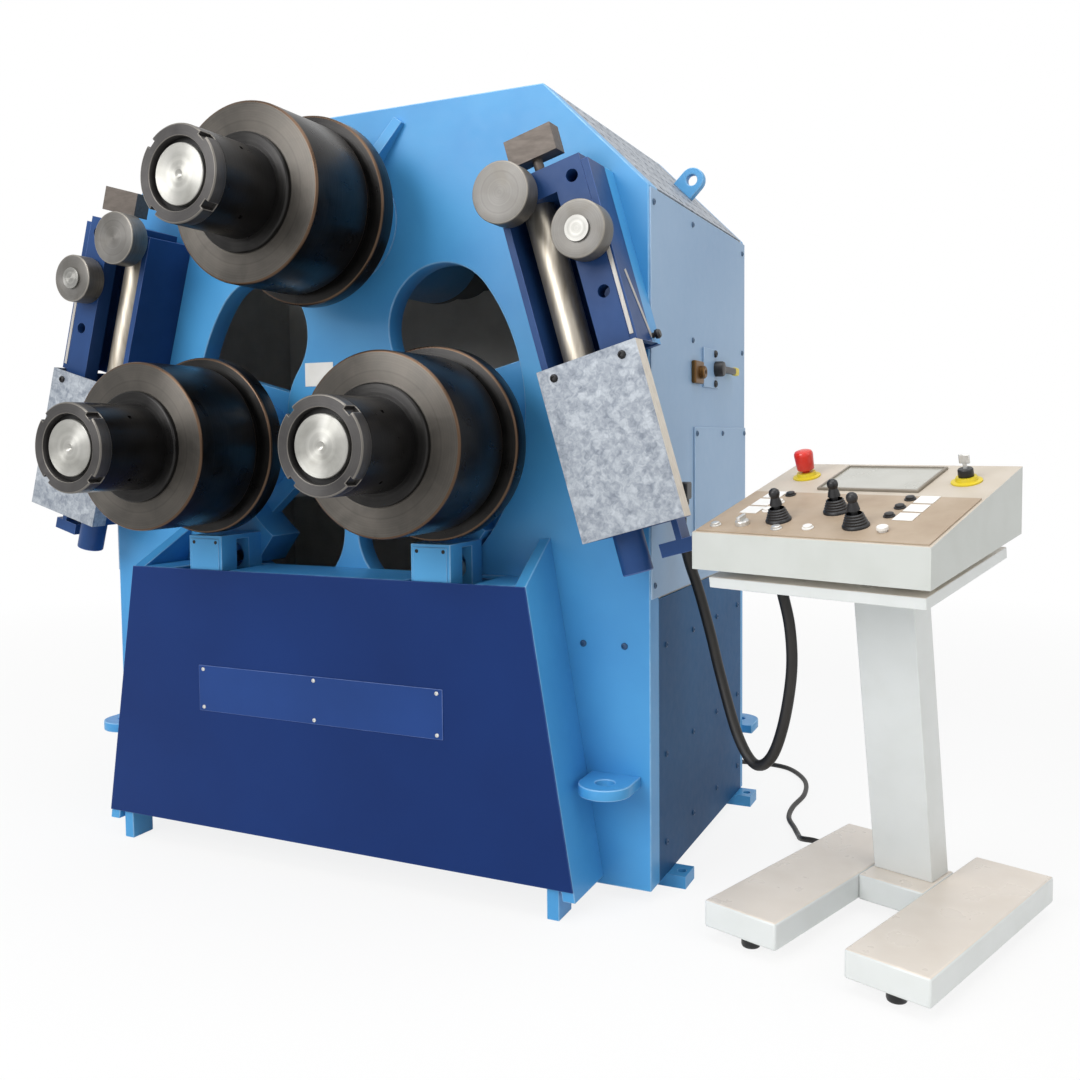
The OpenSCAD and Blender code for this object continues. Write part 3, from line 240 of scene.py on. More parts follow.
@dataclass(frozen=True)
class Enamel(Finish):
    """Sprayed machine enamel on steel: soft clouds, a fine peel, and rubbed edges."""

    shade: str = "#2f6fae"
    rubbed: str = "#9cc8ea"
    cloud_mm: float = 420.0
    patch_mm: float = 25.0
    peel_mm: float = 7.0
    gloss: float = 0.3

    def dress(self, tree: bpy.types.NodeTree, shader: bpy.types.Node) -> None:
        """Adds clouds of tone, rubbed edges and the peel of sprayed paint.

        Args:
            tree: Node tree of the material.
            shader: The material's shader.
        """
        shader.inputs["Specular IOR Level"].default_value = self.gloss
        place = add(tree, "TexCoord").outputs["Object"]
        clouds = {"Vector": place, "Scale": 1000 / self.cloud_mm, "Detail": 4.0}
        cloud = add(tree, "TexNoise", clouds).outputs["Fac"]
        tone = self.tone(tree, cloud, (0.36, 0.72), (self.colour, self.shade))
        # Rubbing comes in patches
        patches = {"Vector": place, "Scale": 1000 / self.patch_mm, "Detail": 5.0}
        patch = add(tree, "TexNoise", patches).outputs["Fac"]
        colour = self.rub(tree, tone, patch, self.rubbed)
        # The real peel is about 2 mm; it is drawn coarser so that it shows
        peels = {"Vector": place, "Scale": 1000 / self.peel_mm, "Detail": 2.0}
        peel = add(tree, "TexNoise", peels).outputs["Fac"]
        self.lay(shader, colour, (patch, -0.07, 0.07), (peel, 0.12, 0.001))


@dataclass(frozen=True)
class ZincSheet(Finish):
    """Hot-dip galvanised sheet: a mottle of zinc crystals, each with its own sheen."""

    dark: str = "#8f98a8"
    spangle_mm: float = 24.0
    drift: Point = (0.012, 0.012, 0.012)

    def dress(self, tree: bpy.types.NodeTree, shader: bpy.types.Node) -> None:
        """Adds the mottle to colour, gloss and relief.

        Args:
            tree: Node tree of the material.
            shader: The material's shader.
        """
        place = add(tree, "TexCoord").outputs["Object"]
        scale = 1000 / self.spangle_mm
        stray = add(tree, "TexNoise", {"Vector": place, "Scale": 2 * scale, "Detail": 2.0})
        shift = {0: stray.outputs["Color"], 1: self.drift, 2: place}
        bent = add(tree, "VectorMath", shift, operation="MULTIPLY_ADD").outputs[0]
        cells = {"Vector": bent, "Scale": scale, "Smoothness": 0.7}
        crystal = add(tree, "TexVoronoi", cells, feature="SMOOTH_F1").outputs["Color"]
        tint = add(tree, "SeparateColor", {"Color": crystal}).outputs[0]
        waves = {"Vector": place, "Scale": 1.4 * scale, "Detail": 5.0, "Distortion": 1.2}
        swirl = add(tree, "TexNoise", waves).outputs["Fac"]
        mottle = add(tree, "Mix", {0: 0.3, 2: swirl, 3: tint}, data_type="FLOAT").outputs[0]
        colour = self.tone(tree, mottle, (0.25, 0.75), (self.dark, self.colour))
        self.lay(shader, colour, (mottle, 0.12, -0.1), (swirl, 0.15, 0.001))


@dataclass(frozen=True)
class TurnedSteel(Finish):
    """Lathe-turned steel: rings about the axis, an oily film, and edges worn brown."""

    centre: Point = (0.0, 0.0, 0.0)
    film: str = "#2b2a29"
    worn: str = "#6b4a33"
    ring_mm: float = 5.0
    ring_depth: float = 0.25
    spread: float = 0.6
    smear_mm: float = 60.0

    def dress(self, tree: bpy.types.NodeTree, shader: bpy.types.Node) -> None:
        """Adds turning rings, smears of oil and worn edges.

        Args:
            tree: Node tree of the material.
            shader: The material's shader.
        """
        place = add(tree, "TexCoord").outputs["Object"]
        offset = tuple(-c for c in self.centre)
        own = add(tree, "Mapping", {"Vector": place, "Location": offset}).outputs[0]
        # Light spreads across the rings, which gives bright and dark wedges on a face
        shader.inputs["Anisotropic"].default_value = self.spread
        spaces = {"vector_type": "VECTOR", "convert_from": "OBJECT", "convert_to": "WORLD"}
        across = add(tree, "VectorTransform", {0: own}, **spaces).outputs[0]
        tree.links.new(across, shader.inputs["Tangent"])
        plane = {0: own, 1: (1.0, 0.0, 1.0)}
        flat = add(tree, "VectorMath", plane, operation="MULTIPLY").outputs[0]
        radius = add(tree, "VectorMath", {0: flat}, operation="LENGTH").outputs["Value"]
        along = add(tree, "SeparateXYZ", {0: own}).outputs["Y"]
        run = add(tree, "Math", {0: radius, 1: along}, operation="ADD").outputs[0]
        # The real feed is about 0.3 mm a turn; it is drawn coarser so that it shows
        feed = {"W": run, "Scale": 1000 / self.ring_mm, "Detail": 4.0}
        rings = add(tree, "TexNoise", feed, noise_dimensions="1D").outputs["Fac"]
        # Smears of oil and handling
        oil = {"Vector": place, "Scale": 1000 / self.smear_mm, "Detail": 5.0, "Distortion": 0.6}
        smear = add(tree, "TexNoise", oil).outputs["Fac"]
        tone = self.tone(tree, smear, (0.35, 0.7), (self.colour, self.film))
        level = add(tree, "MapRange", {"Value": rings, 3: 0.7, 4: 1.3}).outputs[0]
        lines = {0: tone, "Scale": level}
        scored = add(tree, "VectorMath", lines, operation="SCALE").outputs[0]
        colour = self.rub(tree, scored, 0.85, self.worn)
        self.lay(shader, colour, (smear, 0.1, -0.1), (rings, self.ring_depth, 0.0006))


@dataclass(frozen=True)
class Grained(Finish):
    """Moulded, cast or powder-coated skin: a fine grain and a faint change of tone."""

    shade: str = "#101010"
    grain_mm: float = 3.0
    relief: float = 0.15
    coat: float = 0.0
    mark_mm: float = 80.0

    def dress(self, tree: bpy.types.NodeTree, shader: bpy.types.Node) -> None:
        """Adds the grain and the change of tone.

        Args:
            tree: Node tree of the material.
            shader: The material's shader.
        """
        shader.inputs["Coat Weight"].default_value = self.coat
        place = add(tree, "TexCoord").outputs["Object"]
        # Handling marks
        marks = {"Vector": place, "Scale": 1000 / self.mark_mm, "Detail": 4.0}
        cloud = add(tree, "TexNoise", marks).outputs["Fac"]
        colour = self.tone(tree, cloud, (0.4, 0.8), (self.colour, self.shade))
        # The grain is drawn at a few millimetres so that it shows
        grains = {"Vector": place, "Scale": 1000 / self.grain_mm, "Detail": 2.0}
        grain = add(tree, "TexNoise", grains).outputs["Fac"]
        self.lay(shader, colour, (cloud, -0.06, 0.08), (grain, self.relief, 0.0005))


@dataclass(frozen=True)
class Drawn(Finish):
    """Drawn or brushed metal: fine scratches along one direction."""

    stretch: Point = (1.0, 1.0, 0.04)
    scratch_mm: float = 3.0
    shade: str = "#77726a"

    def dress(self, tree: bpy.types.NodeTree, shader: bpy.types.Node) -> None:
        """Adds scratches along the metal's length.

        Args:
            tree: Node tree of the material.
            shader: The material's shader.
        """
        place = add(tree, "TexCoord").outputs["Object"]
        laid = add(tree, "Mapping", {"Vector": place, "Scale": self.stretch}).outputs[0]
        # Real scratches are well under 1 mm wide; they are drawn coarser so that they show
        scratches = {"Vector": laid, "Scale": 1000 / self.scratch_mm, "Detail": 4.0}
        lines = add(tree, "TexNoise", scratches).outputs["Fac"]
        colour = self.tone(tree, lines, (0.35, 0.75), (self.colour, self.shade))
        self.lay(shader, colour, (lines, -0.05, 0.1), (lines, 0.1, 0.0004))


# Light-blue two-pack enamel, satin: the machine's main colour
LIGHT_ENAMEL = Enamel("enamelled_plate_light_blue", "#4d9fd6", 0.38, shade="#3f8cc8", gloss=0.35)
# Pale grey-blue enamel on the upper cover sheets, a little duller; its pale grey cast is partly
# painted sheen
COVER_ENAMEL = Enamel(
    "enamelled_sheet_grey_blue", "#93b1d0", 0.42, shade="#84a4c6", rubbed="#b9cfe2", cloud_mm=600
)
# Blue enamel on the lower cover sheets, darkened as painted shade, dull
SHADED_LOWER_ENAMEL = Enamel(
    "enamelled_sheet_shaded_blue",
    "#1e5481",
    0.5,
    shade="#184670",
    rubbed="#6f9cc6",
    cloud_mm=500,
    gloss=0.1,
)
# Dark-blue enamel of the front cover, semi-gloss
PANEL_ENAMEL = Enamel(
    "enamelled_sheet_navy",
    "#0f306c",
    0.36,
    shade="#0c2a62",
    rubbed="#3f5f9c",
    cloud_mm=500,
    gloss=0.15,
)
# Navy enamel of the name plate, a tone lighter than the cover
PLATE_ENAMEL = Enamel(
    "enamelled_plate_navy",
    "#1b3f80",
    0.34,
    shade="#173874",
    rubbed="#7f95cc",
    cloud_mm=300,
    gloss=0.2,
)
# Dark-blue enamel of the guides, on milled blocks
GUIDE_ENAMEL = Enamel(
    "enamelled_block_navy",
    "#26477b",
    0.4,
    shade="#1b3866",
    rubbed="#657cb4",
    cloud_mm=200,
    gloss=0.2,
)
# Dull pale primer on the surfaces inside the machine
INSIDE_PRIMER = Grained("pale_primer", "#dbd9d4", 0.75, shade="#cbc9c4", grain_mm=8)
# Cast-iron drives and pump in grey machine paint
DRIVE_PAINT = Grained("painted_cast_iron", "#5c6268", 0.5, shade="#4b5055", grain_mm=5, relief=0.3)
# Oil tank and barrels in dark blue paint
TANK_PAINT = Grained("painted_tank_blue", "#2a3f82", 0.42, shade="#22336c", grain_mm=9)
# Galvanised guard sheet with a soft grey mottle
GUARD_ZINC = ZincSheet("galvanised_sheet", "#b3b9c0", 0.48, 0.3, dark="#737b87", spangle_mm=16.0)
# Cream on the guard sheets' outer sides: painted highlight where they are lit
GUARD_SIDE_HIGHLIGHT = Drawn("guard_side_painted_highlight", "#d8d1c5", 0.45, 0.2, shade="#c8bfb1", scratch_mm=6)
# Ground bearing steel, bright and even
BEARING_STEEL = Drawn("ground_bearing_steel", "#a9aaac", 0.3, 0.9, stretch=(1.0, 0.1, 1.0))
# Hard-chromed rod, satin with a warm cast
ROD_CHROME = Drawn("hard_chrome_rod", "#b3aca0", 0.36, 0.8, shade="#978e80", scratch_mm=9)
# Milled steel block, brown-grey with a film of oil
MILLED_STEEL = Drawn(
    "milled_steel", "#655d57", 0.5, 0.5, stretch=(0.3, 1.0, 1.0), scratch_mm=8, shade="#57504a"
)
# Bright zinc-plated trim, key and knob
BRIGHT_STEEL = Drawn("zinc_plated_steel", "#dcdcda", 0.3, 0.6, shade="#c9c8c4", scratch_mm=5)
# Cream strips on the guide beams' outer rails, drawn as bare steel: painted highlight of the lit
# rail edges
RAIL_EDGE_HIGHLIGHT = Drawn("rail_edge_painted_highlight", "#b9b6b2", 0.45, 0.2, shade="#a5a19b", scratch_mm=6)
# Black-oxide screws with a slight shine
BLACK_SCREW = Grained("black_oxide_screw", "#1b1b1d", 0.38, 0.5, shade="#2b2a2a", grain_mm=2)
# Screws of the upper side covers, sprayed over in the covers' paint; their darker grey-blue is
# painted shade
SHADED_UPPER_SCREW = Grained("screw_grey_blue_painted_shade", "#4a6480", 0.45, shade="#3e566f", grain_mm=2)
# Screws of the lower side covers and front plate, sprayed over in the covers' blue; their dark blue
# is painted shade
SHADED_LOWER_SCREW = Grained("screw_blue_painted_shade", "#1f4a72", 0.45, shade="#183d60", grain_mm=2)
# Powder-coated sheet of the desk, cool white with a fine leather grain
DESK_COAT = Grained("powder_coat_cool", "#c8cbc7", 0.4, shade="#c2c5c0", grain_mm=4, relief=0.08)
# Powder-coated sheet of the stand and column, a brighter white
STAND_COAT = Grained("powder_coat_white", "#dfe2e1", 0.32, shade="#dadddb", grain_mm=4, relief=0.06)
# Warm white on the upward faces of the stand's feet, smooth and a little glossy: painted warm light
# on the white coat
STAND_TOP_WARM_LIGHT = Grained("powder_coat_warm_light_painted", "#e6dcd0", 0.28, shade="#e0d5c8", grain_mm=4, relief=0.04)
# Warm cream foil on the desk's sloping top
DESK_FOIL = Grained("desk_foil_cream", "#c9bfb1", 0.5, shade="#bfb4a4", grain_mm=3, relief=0.05)
# Beige foil over the control plate, dull
PANEL_FOIL = Grained("panel_foil_beige", "#b2a08b", 0.5, shade="#a18d77", grain_mm=3, relief=0.05)
# Black moulded nylon of knobs and glands
BLACK_NYLON = Grained("moulded_nylon_black", "#131315", 0.4, shade="#1d1d20", grain_mm=2)
# Red glossy thermoplastic of the stop button
RED_PLASTIC = Grained("moulded_plastic_red", "#d92a1b", 0.32, shade="#c42216", coat=0.3)
# Yellow thermoplastic of the button bases
YELLOW_PLASTIC = Grained("moulded_plastic_yellow", "#dcc62a", 0.42, shade="#cbb31f")
# White plastic caps and label plates
WHITE_PLASTIC = Grained("moulded_plastic_white", "#f0efec", 0.38, shade="#e2e0da")
# Grey display glass behind a clear coat
SCREEN_GLASS = Grained("display_glass", "#b3b2a9", 0.25, shade="#a6a59b", relief=0.0, coat=0.6)
# Brown-grey frame line round the display
SCREEN_FRAME = Grained("display_frame_brown", "#8b8377", 0.45, shade="#7b7367", grain_mm=3)
# Oily black rubber sheath of the cables
CABLE_SHEATH = Grained("rubber_sheath", "#191614", 0.5, shade="#26221e", grain_mm=5, relief=0.25)
# Dark yellow brass of the lock
LOCK_BRASS = Drawn("cast_brass", "#77572f", 0.4, 0.7, shade="#573d20")


def spot(x: float, y: float, z: float, turn: Matrix = FORWARD) -> Matrix:
    """Gives a place on the machine, with +Z turned out of the surface there."""
    return Matrix.Translation((x, y, z)) @ turn


def merged(node: str) -> BMesh:
    """Copies a CAD node's mesh and joins its loose triangles into whole faces.

    Args:
        node: Name of the CAD node.

    Returns:
        Mesh whose flat areas are single faces.
    """
    bm = bmesh.new()
    bm.from_mesh(bpy.data.objects[node].data)
    bmesh.ops.remove_doubles(bm, verts=bm.verts, dist=2e-5)
    bmesh.ops.dissolve_limit(bm, angle_limit=math.radians(0.4), verts=bm.verts, edges=bm.edges)
    return bm


def islands(bm: BMesh) -> list[list[BMFace]]:
    """Groups a mesh's faces into its separate solids.

    Args:
        bm: Mesh with one or more solids.

    Returns:
        Faces of each solid, in the same order in each run.
    """
    rest = set(bm.faces)
    groups = []
    for first in bm.faces:
        if first not in rest:
            continue
        rest.remove(first)
        stack = [first]
        group = []
        while stack:
            face = stack.pop()
            group.append(face)
            for near in (f for e in face.edges for f in e.link_faces):
                if near in rest:
                    rest.remove(near)
                    stack.append(near)
        groups.append(group)
    return groups


def extent(faces: Iterable[BMFace]) -> tuple[Vector, Vector]:
    """Gives the lowest and highest corners of some faces.

    Args:
        faces: Faces to measure.

    Returns:
        Lowest corner and highest corner.
    """
    points = [v.co for f in faces for v in f.verts]
    low = Vector(min(p[i] for p in points) for i in range(3))
    high = Vector(max(p[i] for p in points) for i in range(3))
    return low, high


def soften(bm: BMesh, width: float, segments: int = 2) -> BMesh:
    """Rounds a mesh's outer corners and marks them for wear and smooth shading.

    Args:
        bm: Mesh to change.
        width: Width of the rounding, in metres.
        segments: Faces across the rounding.

    Returns:
        The same mesh.
    """
    round_layer = bm.faces.layers.int.new("round")
    wear_layer = bm.faces.layers.float.new("wear")
    corners = []
    for edge in bm.edges:
        if not edge.is_manifold:
            continue
        turn = edge.calc_face_angle(0.0)
        if turn > CORNER:
            if edge.is_convex:
                corners.append(edge)
        elif turn > FLAT:
            for face in edge.link_faces:
                face[round_layer] = 1
    if corners:
        made = bmesh.ops.bevel(
            bm,
            geom=corners,
            offset=width,
            affect="EDGES",
            segments=segments,
            profile=0.5,
            material=-1,
            clamp_overlap=True,
        )
        for face in made["faces"]:
            face[round_layer] = 1
            face[wear_layer] = 1.0
    for face in bm.faces:
        face.smooth = face[round_layer] == 1
    bm.faces.layers.int.remove(round_layer)
    return bm


def smoothed(bm: BMesh) -> BMesh:
    """Shades a turned mesh smoothly between its corners.

    Args:
        bm: Mesh to change.

    Returns:
        The same mesh.
    """
    for face in bm.faces:
        face.smooth = True
    for edge in bm.edges:
        edge.smooth = edge.calc_face_angle(0.0) < CORNER
    return bm


def tinted(bm: BMesh, finish: int) -> BMesh:
    """Gives all faces of a mesh one material number.

    Args:
        bm: Mesh to change.
        finish: The material number.

    Returns:
        The same mesh.
    """
    for face in bm.faces:
        face.material_index = finish
    return bm


def placed(bm: BMesh, matrix: Matrix) -> BMesh:
    """Moves a mesh into place, and turns its faces back if the place is a mirror image.

    Args:
        bm: Mesh to move.
        matrix: Its place.

    Returns:
        The same mesh.
    """
    bmesh.ops.transform(bm, matrix=matrix, verts=bm.verts)
    if matrix.determinant() < 0:
        bmesh.ops.reverse_faces(bm, faces=bm.faces)
    return bm


def spun(profile: Profile, steps: int, closed: bool = False) -> BMesh:
    """Turns a profile about the Z axis.

    Args:
        profile: Radius and height of each point.
        steps: Faces round the axis.
        closed: Whether the last point joins the first.

    Returns:
        The turned mesh, with its normals outwards.
    """
    bm = bmesh.new()
    points = [bm.verts.new((r, 0.0, z)) for r, z in profile]
    pairs = list(zip(points, points[1:]))
    if closed:
        pairs.append((points[-1], points[0]))
    edges = [bm.edges.new(pair) for pair in pairs]
    bmesh.ops.spin(
        bm,
        geom=points + edges,
        cent=(0.0, 0.0, 0.0),
        axis=(0.0, 0.0, 1.0),
        angle=2 * math.pi,
        steps=steps,
        use_merge=True,
    )
    bmesh.ops.remove_doubles(bm, verts=bm.verts, dist=1e-6)
    bmesh.ops.recalc_face_normals(bm, faces=bm.faces)
    return bm


def turned(profile: Profile, place: Matrix, steps: int = 32, closed: bool = False) -> BMesh:
    """Turns a small part and puts it in its place, with the profile's height along +Z.

    Args:
        profile: Radius and height of each point.
        place: Its place.
        steps: Faces round the axis.
        closed: Whether the last point joins the first.

    Returns:
        The part's mesh.
    """
    return placed(smoothed(spun(profile, steps, closed)), place)


def block(low: Sequence[float], high: Sequence[float]) -> BMesh:
    """Makes a box between two corners.

    Args:
        low: Lowest corner.
        high: Highest corner.

    Returns:
        The box's mesh.
    """
    bm = bmesh.new()
    size = [b - a for a, b in zip(low, high)]
    middle = [(a + b) / 2 for a, b in zip(low, high)]
    bmesh.ops.create_cube(bm, size=1.0)
    bmesh.ops.scale(bm, vec=size, verts=bm.verts)
    bmesh.ops.translate(bm, vec=middle, verts=bm.verts)
    return bm


def slab(low: Sequence[float], high: Sequence[float], width: float, segments: int = 2) -> BMesh:
    """Makes a box between two corners, with its edges rounded by a width."""
    return soften(block(low, high), width, segments)


def joined(parts: Iterable[BMesh]) -> BMesh:
    """Puts several meshes into one.

    Args:
        parts: Meshes to join, which are used up.

    Returns:
        One mesh with all of them.
    """
    whole = bmesh.new()
    for part in parts:
        carrier = bpy.data.meshes.new("carrier")
        part.to_mesh(carrier)
        part.free()
        whole.from_mesh(carrier)
        bpy.data.meshes.remove(carrier)
    return whole


def socket_head(radius: float, height: float, seat: Matrix) -> BMesh:
    """Makes a socket screw's domed head.

    Args:
        radius: Radius of the head.
        height: Height of the head.
        seat: Place of its seat, with +Z outwards.

    Returns:
        The head's mesh.
    """
    outline = ((1.0, 0.0), (1.0, 0.4), (0.82, 0.85), (0.5, 1.0), (0.42, 0.45), (0.0, 0.45))
    return turned([(r * radius, z * height) for r, z in outline], seat, 18)


def screws(seats: Iterable[Matrix], radius: float, height: float) -> BMesh:
    """Makes equal socket heads on several seats."""
    return joined([socket_head(radius, height, seat) for seat in seats])


def piece(
    name: str,
    bm: BMesh,
    slot: str,
    *finishes: Finish,
    body: str = "frame",
    nodes: Sequence[str] = (),
) -> None:
    """Turns a mesh into a named piece that rides on a body.

    Args:
        name: Name of the piece.
        bm: Its mesh, which is used up.
        slot: The record's material slot for its finish; not used.
        finishes: Finish for each material number of the faces.
        body: CAD body that it moves with.
        nodes: CAD nodes that it is shown instead of.
    """
    mesh = bpy.data.meshes.new(name)
    bm.to_mesh(mesh)
    bm.free()
    for finish in finishes:
        mesh.materials.append(finish.material())
    made = bpy.data.objects.new(name, mesh)
    bpy.context.scene.collection.objects.link(made)
    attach(made, body)
    if nodes:
        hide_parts(*nodes)
    LOG.info("%s: %d faces, rides on %s", name, len(mesh.polygons), body)


def shell(
    node: str,
    width: float,
    slot: str,
    *finishes: Finish,
    body: str = "frame",
    rule: FaceRule | None = None,
) -> None:
    """Shows a CAD node with rounded corners and finishes by face.

    Args:
        node: Name of the CAD node.
        width: Width of the rounded corners, in metres.
        slot: The record's material slot for its finish.
        finishes: Finishes to choose from.
        body: CAD body that it moves with.
        rule: Gives the finish's number for a face; without it all take the first.
    """
    bm = soften(merged(node), width)
    if rule is not None:
        for face in bm.faces:
            face.material_index = rule(face)
    piece(f"{node}_dressed", bm, slot, *finishes, body=body, nodes=(node,))


def carry(node: str, finish: Finish) -> None:
    """Gives a CAD node that stays as it is a better material.

    Args:
        node: Name of the CAD node.
        finish: Its finish.
    """
    mesh = bpy.data.objects[node].data
    mesh.materials.clear()
    mesh.materials.append(finish.material())
    LOG.info("%s: kept, finish %s", node, finish.name)


@dataclass
class Cable:
    """A free cable along a smooth route, whose points lie behind the plate's face."""

    name: str
    node: str
    diameter: float
    stiffness: str
    lay: str
    points: Sequence[Point]
    steps: int = 8

    def route(self) -> list[Vector]:
        """Works out the cable's line.

        Returns:
            Close points on a smooth curve through the route's points.
        """
        p = [Vector((x, y + FACE_Y, z)) for x, y, z in self.points]
        last = len(p) - 1
        line = []
        for i in range(last):
            a, b, c, d = p[max(i - 1, 0)], p[i], p[i + 1], p[min(i + 2, last)]
            square = 2 * a - 5 * b + 4 * c - d
            cube = 3 * b - a - 3 * c + d
            for k in range(self.steps):
                t = k / self.steps
                line.append(0.5 * (2 * b + (c - a) * t + square * t * t + cube * t * t * t))
        line.append(p[last])
        return line

    def build(self) -> None:
        line = self.route()
        curve = bpy.data.curves.new(self.name, "CURVE")
        curve.dimensions = "3D"
        curve.bevel_depth = self.diameter / 2
        curve.bevel_resolution = 5
        curve.use_fill_caps = True
        spline = curve.splines.new("POLY")
        spline.points.add(len(line) - 1)
        for point, place in zip(spline.points, line):
            point.co = (*place, 1.0)
        spline.use_smooth = True
        curve.materials.append(CABLE_SHEATH.material())
        made = bpy.data.objects.new(self.name, curve)
        bpy.context.scene.collection.objects.link(made)
        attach(made, "frame")
        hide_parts(self.node)


@dataclass
class CableSet:
    """The two cables between the machine and the desk, and their glands."""

    trunk: float = 0.025
    floor: float = 0.014
    trunk_nut: float = 0.006
    floor_nut: float = 0.005
    gland_length: float = 0.025
    gland_grip: float = 0.003
    outlet: Point = (0.835, FACE_Y + 0.118, 0.895)
    outlet_box: Box = ((0.804, FACE_Y + 0.098, 0.920), (0.855, FACE_Y + 0.138, 0.960))
    rear: Point = (0.620, FACE_Y + 0.845, 0.150)
    # Glands on the stand and under the desk, from the stand's front
    stand: Point = (-0.272, 0.520, 0.059)
    boss: Point = (-0.190, 0.200, 0.790)
    # From the outlet on the right side to the boss under the desk
    trunk_points: Sequence[Point] = (
        (0.835, 0.118, 0.8948), (0.835, 0.118, 0.875), (0.836, 0.120, 0.845),
        (0.848, 0.136, 0.775), (0.866, 0.158, 0.700), (0.890, 0.170, 0.600),
        (0.915, 0.170, 0.500), (0.962, 0.142, 0.375), (1.008, 0.116, 0.320),
        (1.050, 0.095, 0.345), (1.082, 0.076, 0.430), (1.102, 0.062, 0.550),
        (1.099, 0.056, 0.650), (1.080, 0.0548, 0.738), (1.0774, 0.0547, 0.769),
        (1.0774, 0.0547, 0.7897),
    )
    # From the rear plate over the floor to the desk's stand
    floor_points: Sequence[Point] = (
        (0.620, 0.8452, 0.150), (0.620, 0.865, 0.150), (0.622, 0.905, 0.145),
        (0.630, 0.975, 0.105), (0.655, 1.050, 0.048), (0.700, 1.102, 0.017),
        (0.745, 1.126, 0.009), (0.800, 1.136, 0.008), (0.878, 1.110, 0.008),
        (0.945, 1.010, 0.008), (0.969, 0.885, 0.008), (0.961, 0.760, 0.008),
        (0.969, 0.670, 0.008), (1.000, 0.594, 0.009), (1.028, 0.515, 0.018),
        (1.044, 0.450, 0.038), (1.062, 0.404, 0.054), (1.0858, 0.3905, 0.0588),
        (1.1046, 0.38397, 0.059),
    )

    def gland(self, cable: float, wall: float, place: Matrix) -> BMesh:
        """Makes a tapered gland round a cable's end.

        Args:
            cable: Diameter of the cable.
            wall: Wall of the gland's nut.
            place: Place of the end where the cable leaves, with +Z into the housing.

        Returns:
            The gland's mesh.
        """
        bore = cable / 2 - self.gland_grip
        nut = cable / 2 + wall
        full = self.gland_length
        profile = (
            (bore, 0.0), (cable / 2 + 0.0012, 0.0), (cable / 2 + 0.0025, 0.2 * full),
            (0.92 * nut, 0.38 * full), (0.92 * nut, 0.5 * full), (nut, 0.54 * full),
            (nut, 0.96 * full), (0.94 * nut, full), (bore, full),
        )
        return turned(profile, place, 24, closed=True)

    def build(self, desk: Matrix) -> None:
        """Makes the cables, their glands and the outlet box.

        Args:
            desk: Place of the desk's stand.
        """
        trunk, floor = self.trunk_points, self.floor_points
        Cable("trunk_sheath", "trunk_cable", self.trunk, "stiff", "hanging", trunk).build()
        Cable("floor_sheath", "floor_cable", self.floor, "medium", "loose", floor).build()
        outlet = Matrix.Translation(self.outlet)
        rear = spot(*self.rear)
        stand = desk @ Matrix.Translation(self.stand) @ SIDEWAYS
        boss = desk @ Matrix.Translation(self.boss)
        parts = [
            self.gland(self.trunk, self.trunk_nut, outlet),
            self.gland(self.floor, self.floor_nut, rear),
            self.gland(self.floor, self.floor_nut, stand),
            self.gland(self.trunk, self.trunk_nut, boss),
            slab(*self.outlet_box, 0.004, 3),
        ]
        nodes = ("cable_glands",)
        piece("cable_glands_moulded", joined(parts), "black_plastic", BLACK_NYLON, nodes=nodes)


